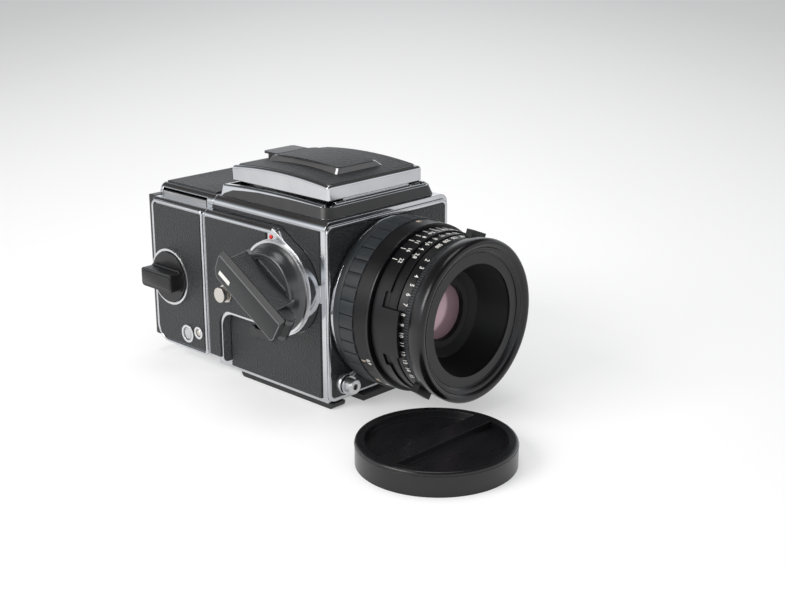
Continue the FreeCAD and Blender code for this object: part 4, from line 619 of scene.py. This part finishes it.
speed_skin = [(38.9, 35.0), (38.9, 36.4), (39.1, 36.55), (43.4, 36.1), (43.6, 35.9), (46.3, 35.9),
              (46.55, 35.7), (46.55, 35.0)]
turned("speed_skin", speed_skin, about_lens, "speed", anodised, RING_STEPS, crease=25, slot="black_anodised")
exposures = spread_out("2 3 4 5 6 7 8 9 10 11 12 13 14 15", 123, 7.1)
speeds = spread_out("500 250 125 60 30 15 8 4 2 1 B", 107, -8.4)
figures("exposure_figures", exposures, 42.35, speed_radius, 2.3, "speed", bright_mark)
figures("speed_figures", speeds, 40.8, speed_radius, 2.1, "speed", bright_mark)
around_lens("speed_ribs", ring_block(0, 0.013, 35.7, 36.3, (43.9, 46.4), 0.14, 2), 172, "speed", rubber)

# Lens front
# A thick round-edged ring with two fine lines inside its mouth, a plain dark ring and a stepped light trap.
# The front glass with its pink coating is held behind the trap; its bright opaque pink is the coating's tint
# with a painted reflection laid over it.

TRAP_RADIUS = 30.0
inner_black = shade("paint_inner", (0.0025, 0.0025, 0.003), 0.50, 0.0, (0.005, 0.005, 0.006), grain=1500,
                    relief=0.2, edge=0.1, Specular_IOR_Level=0.3)
ring_grey = shade("aluminium_grey", (0.006, 0.006, 0.007), 0.40, 0.05, (0.010, 0.010, 0.011), grain=1800,
                  relief=0.25, depth=0.00005)
mouth = [(46.85, 31.0), (46.85, 36.6), (47.1, 37.1), (47.8, 37.45), (50.5, 37.8), (53.0, 38.0), (54.2, 37.8),
         (55.0, 37.2), (55.38, 36.4), (55.38, 35.5), (55.1, 34.7), (54.5, 34.1), (53.9, 33.6), (53.7, 33.0),
         (53.7, 32.3), (53.3, 31.7), (52.9, 31.3), (52.6, 31.0), (51.25, 30.95)]
trap = [(51.2, 26.4), (50.9, 26.15), (38.5, 20.6), (38.2, 20.3), (38.2, 19.8), (38.0, 19.5), (36.0, 16.9),
        (35.8, 16.6), (35.8, 16.1), (35.6, 15.8), (35.1, 13.6), (34.9, 13.4)]
profile = mouth + trap + [(33.4, 13.1), (31.9, 13.05), (31.9, 30.9), (46.0, 30.9)]
front_ring = turned("front_ring", profile, about_lens, "lens", front_black, 224, crease=28,
                    slot="black_anodised")
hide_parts("front_barrel")
front_ring.data.materials.append(inner_black)
for face in front_ring.data.polygons:
    if Vector((face.center.x, face.center.z - LENS * MM)).length < TRAP_RADIUS * MM:
        face.material_index = 1
dress(ring_grey, "name_ring")
bare_line = shade("aluminium_bare", (0.05, 0.05, 0.055), 0.30, 1.0, (0.09, 0.09, 0.095), grain=2600,
                  relief=0.1)
for number, (along, radius) in enumerate(((52.55, 30.98), (53.65, 32.7))):
    groove = [(along, radius - 0.12), (along + 0.2, radius - 0.05), (along + 0.2, radius + 0.15),
              (along, radius + 0.15)]
    turned(f"mouth_line_{number + 1}", groove, about_lens, "lens", bare_line, RING_STEPS, slot="chrome")
# A bright opaque pink base colour: the coating's tint, brightened as a painted reflection.
glass_painted_reflection = shade("glass_coated_painted_reflection", (0.40, 0.25, 0.29), 0.16, 0.45, (0.50, 0.34, 0.38), cloud=30, relief=0.0,
               spread=0.05, Coat_Weight=0.6, Coat_Roughness=0.03)
dress(glass_painted_reflection, "front_glass")
dress(inner_black, "rear_cell", "shutter_housing")
blade_steel = shade("steel_blade", (0.05, 0.05, 0.052), 0.38, 0.8, (0.08, 0.08, 0.083), grain=2600,
                    relief=0.15)
dress(blade_steel, *[f"iris_blade_{index + 1}" for index in range(5)])

# Shutter release bar
# A short chrome rod beside the release that links it to the lens mount.
# It is screwed to the front of the body.

BAR_RADIUS, BAR_OUT, BAR_SLANT = 1.3, 2.6, 0.35
release_bar = [(-31, 3.2), (-27.5, 3.9), (-22.5, 6.3), (-19.5, 8.6)]
bar_turn = [2 * math.pi * step / 16 for step in range(16)]
bar_loops = [[(x + BAR_RADIUS * math.sin(t) * BAR_SLANT, FRONT - BAR_OUT + BAR_RADIUS * math.cos(t),
               RELEASE_Z + rise + BAR_RADIUS * math.sin(t)) for t in bar_turn] for x, rise in release_bar]
piece("release_link", *skin(bar_loops, False), "camera_body", satin_chrome, slot="chrome")

# Viewing parts inside the finder and the body
# The folded finder panels and magnifier, the ground glass, the mirror and the film on its spool.
# They are painted, ground, silvered or bare to suit their work.

ground = shade("glass_ground", (0.55, 0.56, 0.56), 0.55, 0.0, (0.66, 0.67, 0.67), grain=3000, relief=0.4,
               depth=0.00003)
silvered = shade("mirror_silver", (0.86, 0.87, 0.88), 0.04, 1.0, (0.90, 0.91, 0.92), relief=0.0, spread=0.02)
film_paper = shade("paper_backing", (0.030, 0.032, 0.034), 0.6, 0.0, (0.045, 0.047, 0.050), grain=1200,
                   relief=0.3)
dress(black_paint, "left_panel", "right_panel", "rear_panel", "magnifier")
dress(ground, "focusing_screen")
dress(silvered, "mirror")
dress(film_paper, "film_roll")

# Lens cap
# A moulded black cap lying face up beside the lens, with a thin raised line round its rim.
# Claws under the rim take the lens bayonet, and a bar is left standing between two hollows of the face.

CAP_X, CAP_Y = -47.9, -95.4
cap_black = shade("plastic_cap", (0.005, 0.005, 0.006), 0.25, 0.0, (0.009, 0.009, 0.010), cloud=60,
                  grain=1300, relief=0.08, depth=0.00005, spread=0.1, edge=0.5)


def about_cap(along, radius, angle):
    return CAP_X + radius * math.cos(angle), CAP_Y + radius * math.sin(angle), along


dress(cap_black, "lens_cap")
turned("cap_line", [(8.9, 34.45), (9.15, 34.45), (9.15, 34.72), (8.9, 34.72)], about_cap, "cap", cap_black,
       RING_STEPS, slot="black_plastic")

# Floor and light
# A pale seamless floor that falls off to grey far behind, a painted fall-off of the light, and glows faintly
# as a painted fill, under a soft sky and two large soft lamps.
# The camera stands in front, to the left and above.

RIGHT, UP, AHEAD = (0.6912, -0.7226, -0.0016), (0.2189, 0.2073, 0.9535), (0.6887, 0.6594, -0.3015)
FLOOR_TONE, FLOOR_PAINTED_FILL, FALL_LENGTH = 0.64, 0.60, 4.0


def ramp(tree, stops):
    """A colour ramp node with the given places and grey tones or colours."""
    made = tree.nodes.new("ShaderNodeValToRGB")
    colors = made.color_ramp.elements
    for place, tone in stops[1:-1]:
        colors.new(place)
    for stop, (place, tone) in zip(colors, stops):
        stop.position = place
        stop.color = (*(tone if isinstance(tone, tuple) else (tone, tone, tone)), 1)
    return made


backdrop = bpy.data.materials.new("floor_pale")
backdrop.use_nodes = True
paint = backdrop.node_tree
glaze = paint.nodes["Principled BSDF"]
spot = paint.nodes.new("ShaderNodeTexCoord")
aligned = paint.nodes.new("ShaderNodeMapping")
aligned.inputs["Rotation"].default_value = (0, 0, -math.atan2(AHEAD[1], AHEAD[0]))
squash = paint.nodes.new("ShaderNodeMapping")
squash.inputs["Scale"].default_value = (1, 4, 1)
reach = paint.nodes.new("ShaderNodeVectorMath")
reach.operation = "LENGTH"
span = paint.nodes.new("ShaderNodeMapRange")
span.inputs["From Max"].default_value = FALL_LENGTH
# The floor's colour is lightest round the camera and darkens further off, faster to the sides: a painted pool
# of light.
floor_painted_falloff = ((0, 0.992), (0.4, 0.992), (0.62, 0.974), (0.8, 0.945), (0.96, 0.925), (1.16, 0.905),
               (1.4, 0.875), (1.6, 0.850), (1.85, 0.820), (2.1, 0.785), (2.5, 0.745), (3.0, 0.700),
               (4.0, 0.660))
painted_light_pool = ramp(paint, [(place / FALL_LENGTH, tone * FLOOR_TONE) for place, tone in floor_painted_falloff])
paint.links.new(spot.outputs["Object"], aligned.inputs["Vector"])
paint.links.new(aligned.outputs["Vector"], squash.inputs["Vector"])
paint.links.new(squash.outputs["Vector"], reach.inputs[0])
paint.links.new(reach.outputs["Value"], span.inputs["Value"])
paint.links.new(span.outputs["Result"], painted_light_pool.inputs["Fac"])
paint.links.new(painted_light_pool.outputs["Color"], glaze.inputs["Base Color"])
# The same colour also drives the floor's glow, a painted fill light that lightens the floor's shadows and
# lights the camera from below.
paint.links.new(painted_light_pool.outputs["Color"], glaze.inputs["Emission Color"])
glaze.inputs["Emission Strength"].default_value = FLOOR_PAINTED_FILL
glaze.inputs["Roughness"].default_value = 0.6
glaze.inputs["Specular IOR Level"].default_value = 0.0
floor_mesh = bpy.data.meshes.new("floor")
near, far = -6.0, 9.0
floor_mesh.from_pydata([(near, near, 0), (far, near, 0), (far, far, 0), (near, far, 0)], [], [(0, 1, 2, 3)])
floor_mesh.materials.append(backdrop)
floor = bpy.data.objects.new("floor", floor_mesh)
bpy.context.collection.objects.link(floor)

world = bpy.data.worlds.new("studio")
bpy.context.scene.world = world
world.use_nodes = True
sky = world.node_tree
view_line = sky.nodes.new("ShaderNodeTexCoord")
parts = sky.nodes.new("ShaderNodeSeparateXYZ")
height = sky.nodes.new("ShaderNodeMapRange")
room = ramp(sky, ((0.0, (0.85, 0.86, 0.88)), (0.14, (1.25, 1.26, 1.28)), (0.30, (1.15, 1.20, 1.25)),
                  (0.45, (0.36, 0.38, 0.40)), (0.60, (0.085, 0.080, 0.076)), (1.0, (0.055, 0.048, 0.043))))
ray = sky.nodes.new("ShaderNodeLightPath")
soft = sky.nodes.new("ShaderNodeMix")
soft.data_type = "RGBA"
soft.inputs[6].default_value = (0.74, 0.745, 0.76, 1)
sky.links.new(view_line.outputs["Generated"], parts.inputs[0])
sky.links.new(parts.outputs["Z"], height.inputs["Value"])
sky.links.new(height.outputs["Result"], room.inputs["Fac"])
sky.links.new(ray.outputs["Is Glossy Ray"], soft.inputs[0])
sky.links.new(room.outputs["Color"], soft.inputs[7])
sky.links.new(soft.outputs[2], sky.nodes["Background"].inputs["Color"])
sky.nodes["Background"].inputs["Strength"].default_value = 0.86


def lamp(name, spot, aim, size, power, tone=(1, 1, 1)):
    """A soft rectangular lamp that looks at a point."""
    light = bpy.data.lights.new(name, "AREA")
    light.shape = "RECTANGLE"
    light.size, light.size_y = size
    light.energy = power
    light.color = tone
    holder = bpy.data.objects.new(name, light)
    bpy.context.collection.objects.link(holder)
    holder.location = spot
    holder.rotation_euler = (Vector(aim) - Vector(spot)).to_track_quat("-Z", "Y").to_euler()


lamp("key_lamp", (-1.15, 0.25, 0.80), (0, 0.03, 0.04), (0.8, 0.6), 11.0, (1.0, 0.985, 0.96))
lamp("top_lamp", (0.15, 0.20, 1.40), (0, 0.0, 0.03), (0.7, 0.7), 3.5)

FOCAL_PIXELS, PICTURE_PIXELS, SENSOR = 1329.6, 785, 36.0
eye = bpy.data.cameras.new("photo_view")
eye.sensor_width = SENSOR
eye.lens = FOCAL_PIXELS / PICTURE_PIXELS * SENSOR
eye.clip_start, eye.clip_end = 0.01, 50
viewer = bpy.data.objects.new("photo_view", eye)
bpy.context.collection.objects.link(viewer)
pose = Matrix((RIGHT, UP, [-value for value in AHEAD])).transposed().to_4x4()
pose.translation = Vector((-0.43306, -0.43866, 0.23717))
viewer.matrix_world = pose
bpy.context.scene.camera = viewer
bpy.context.scene.view_settings.view_transform = "Standard"
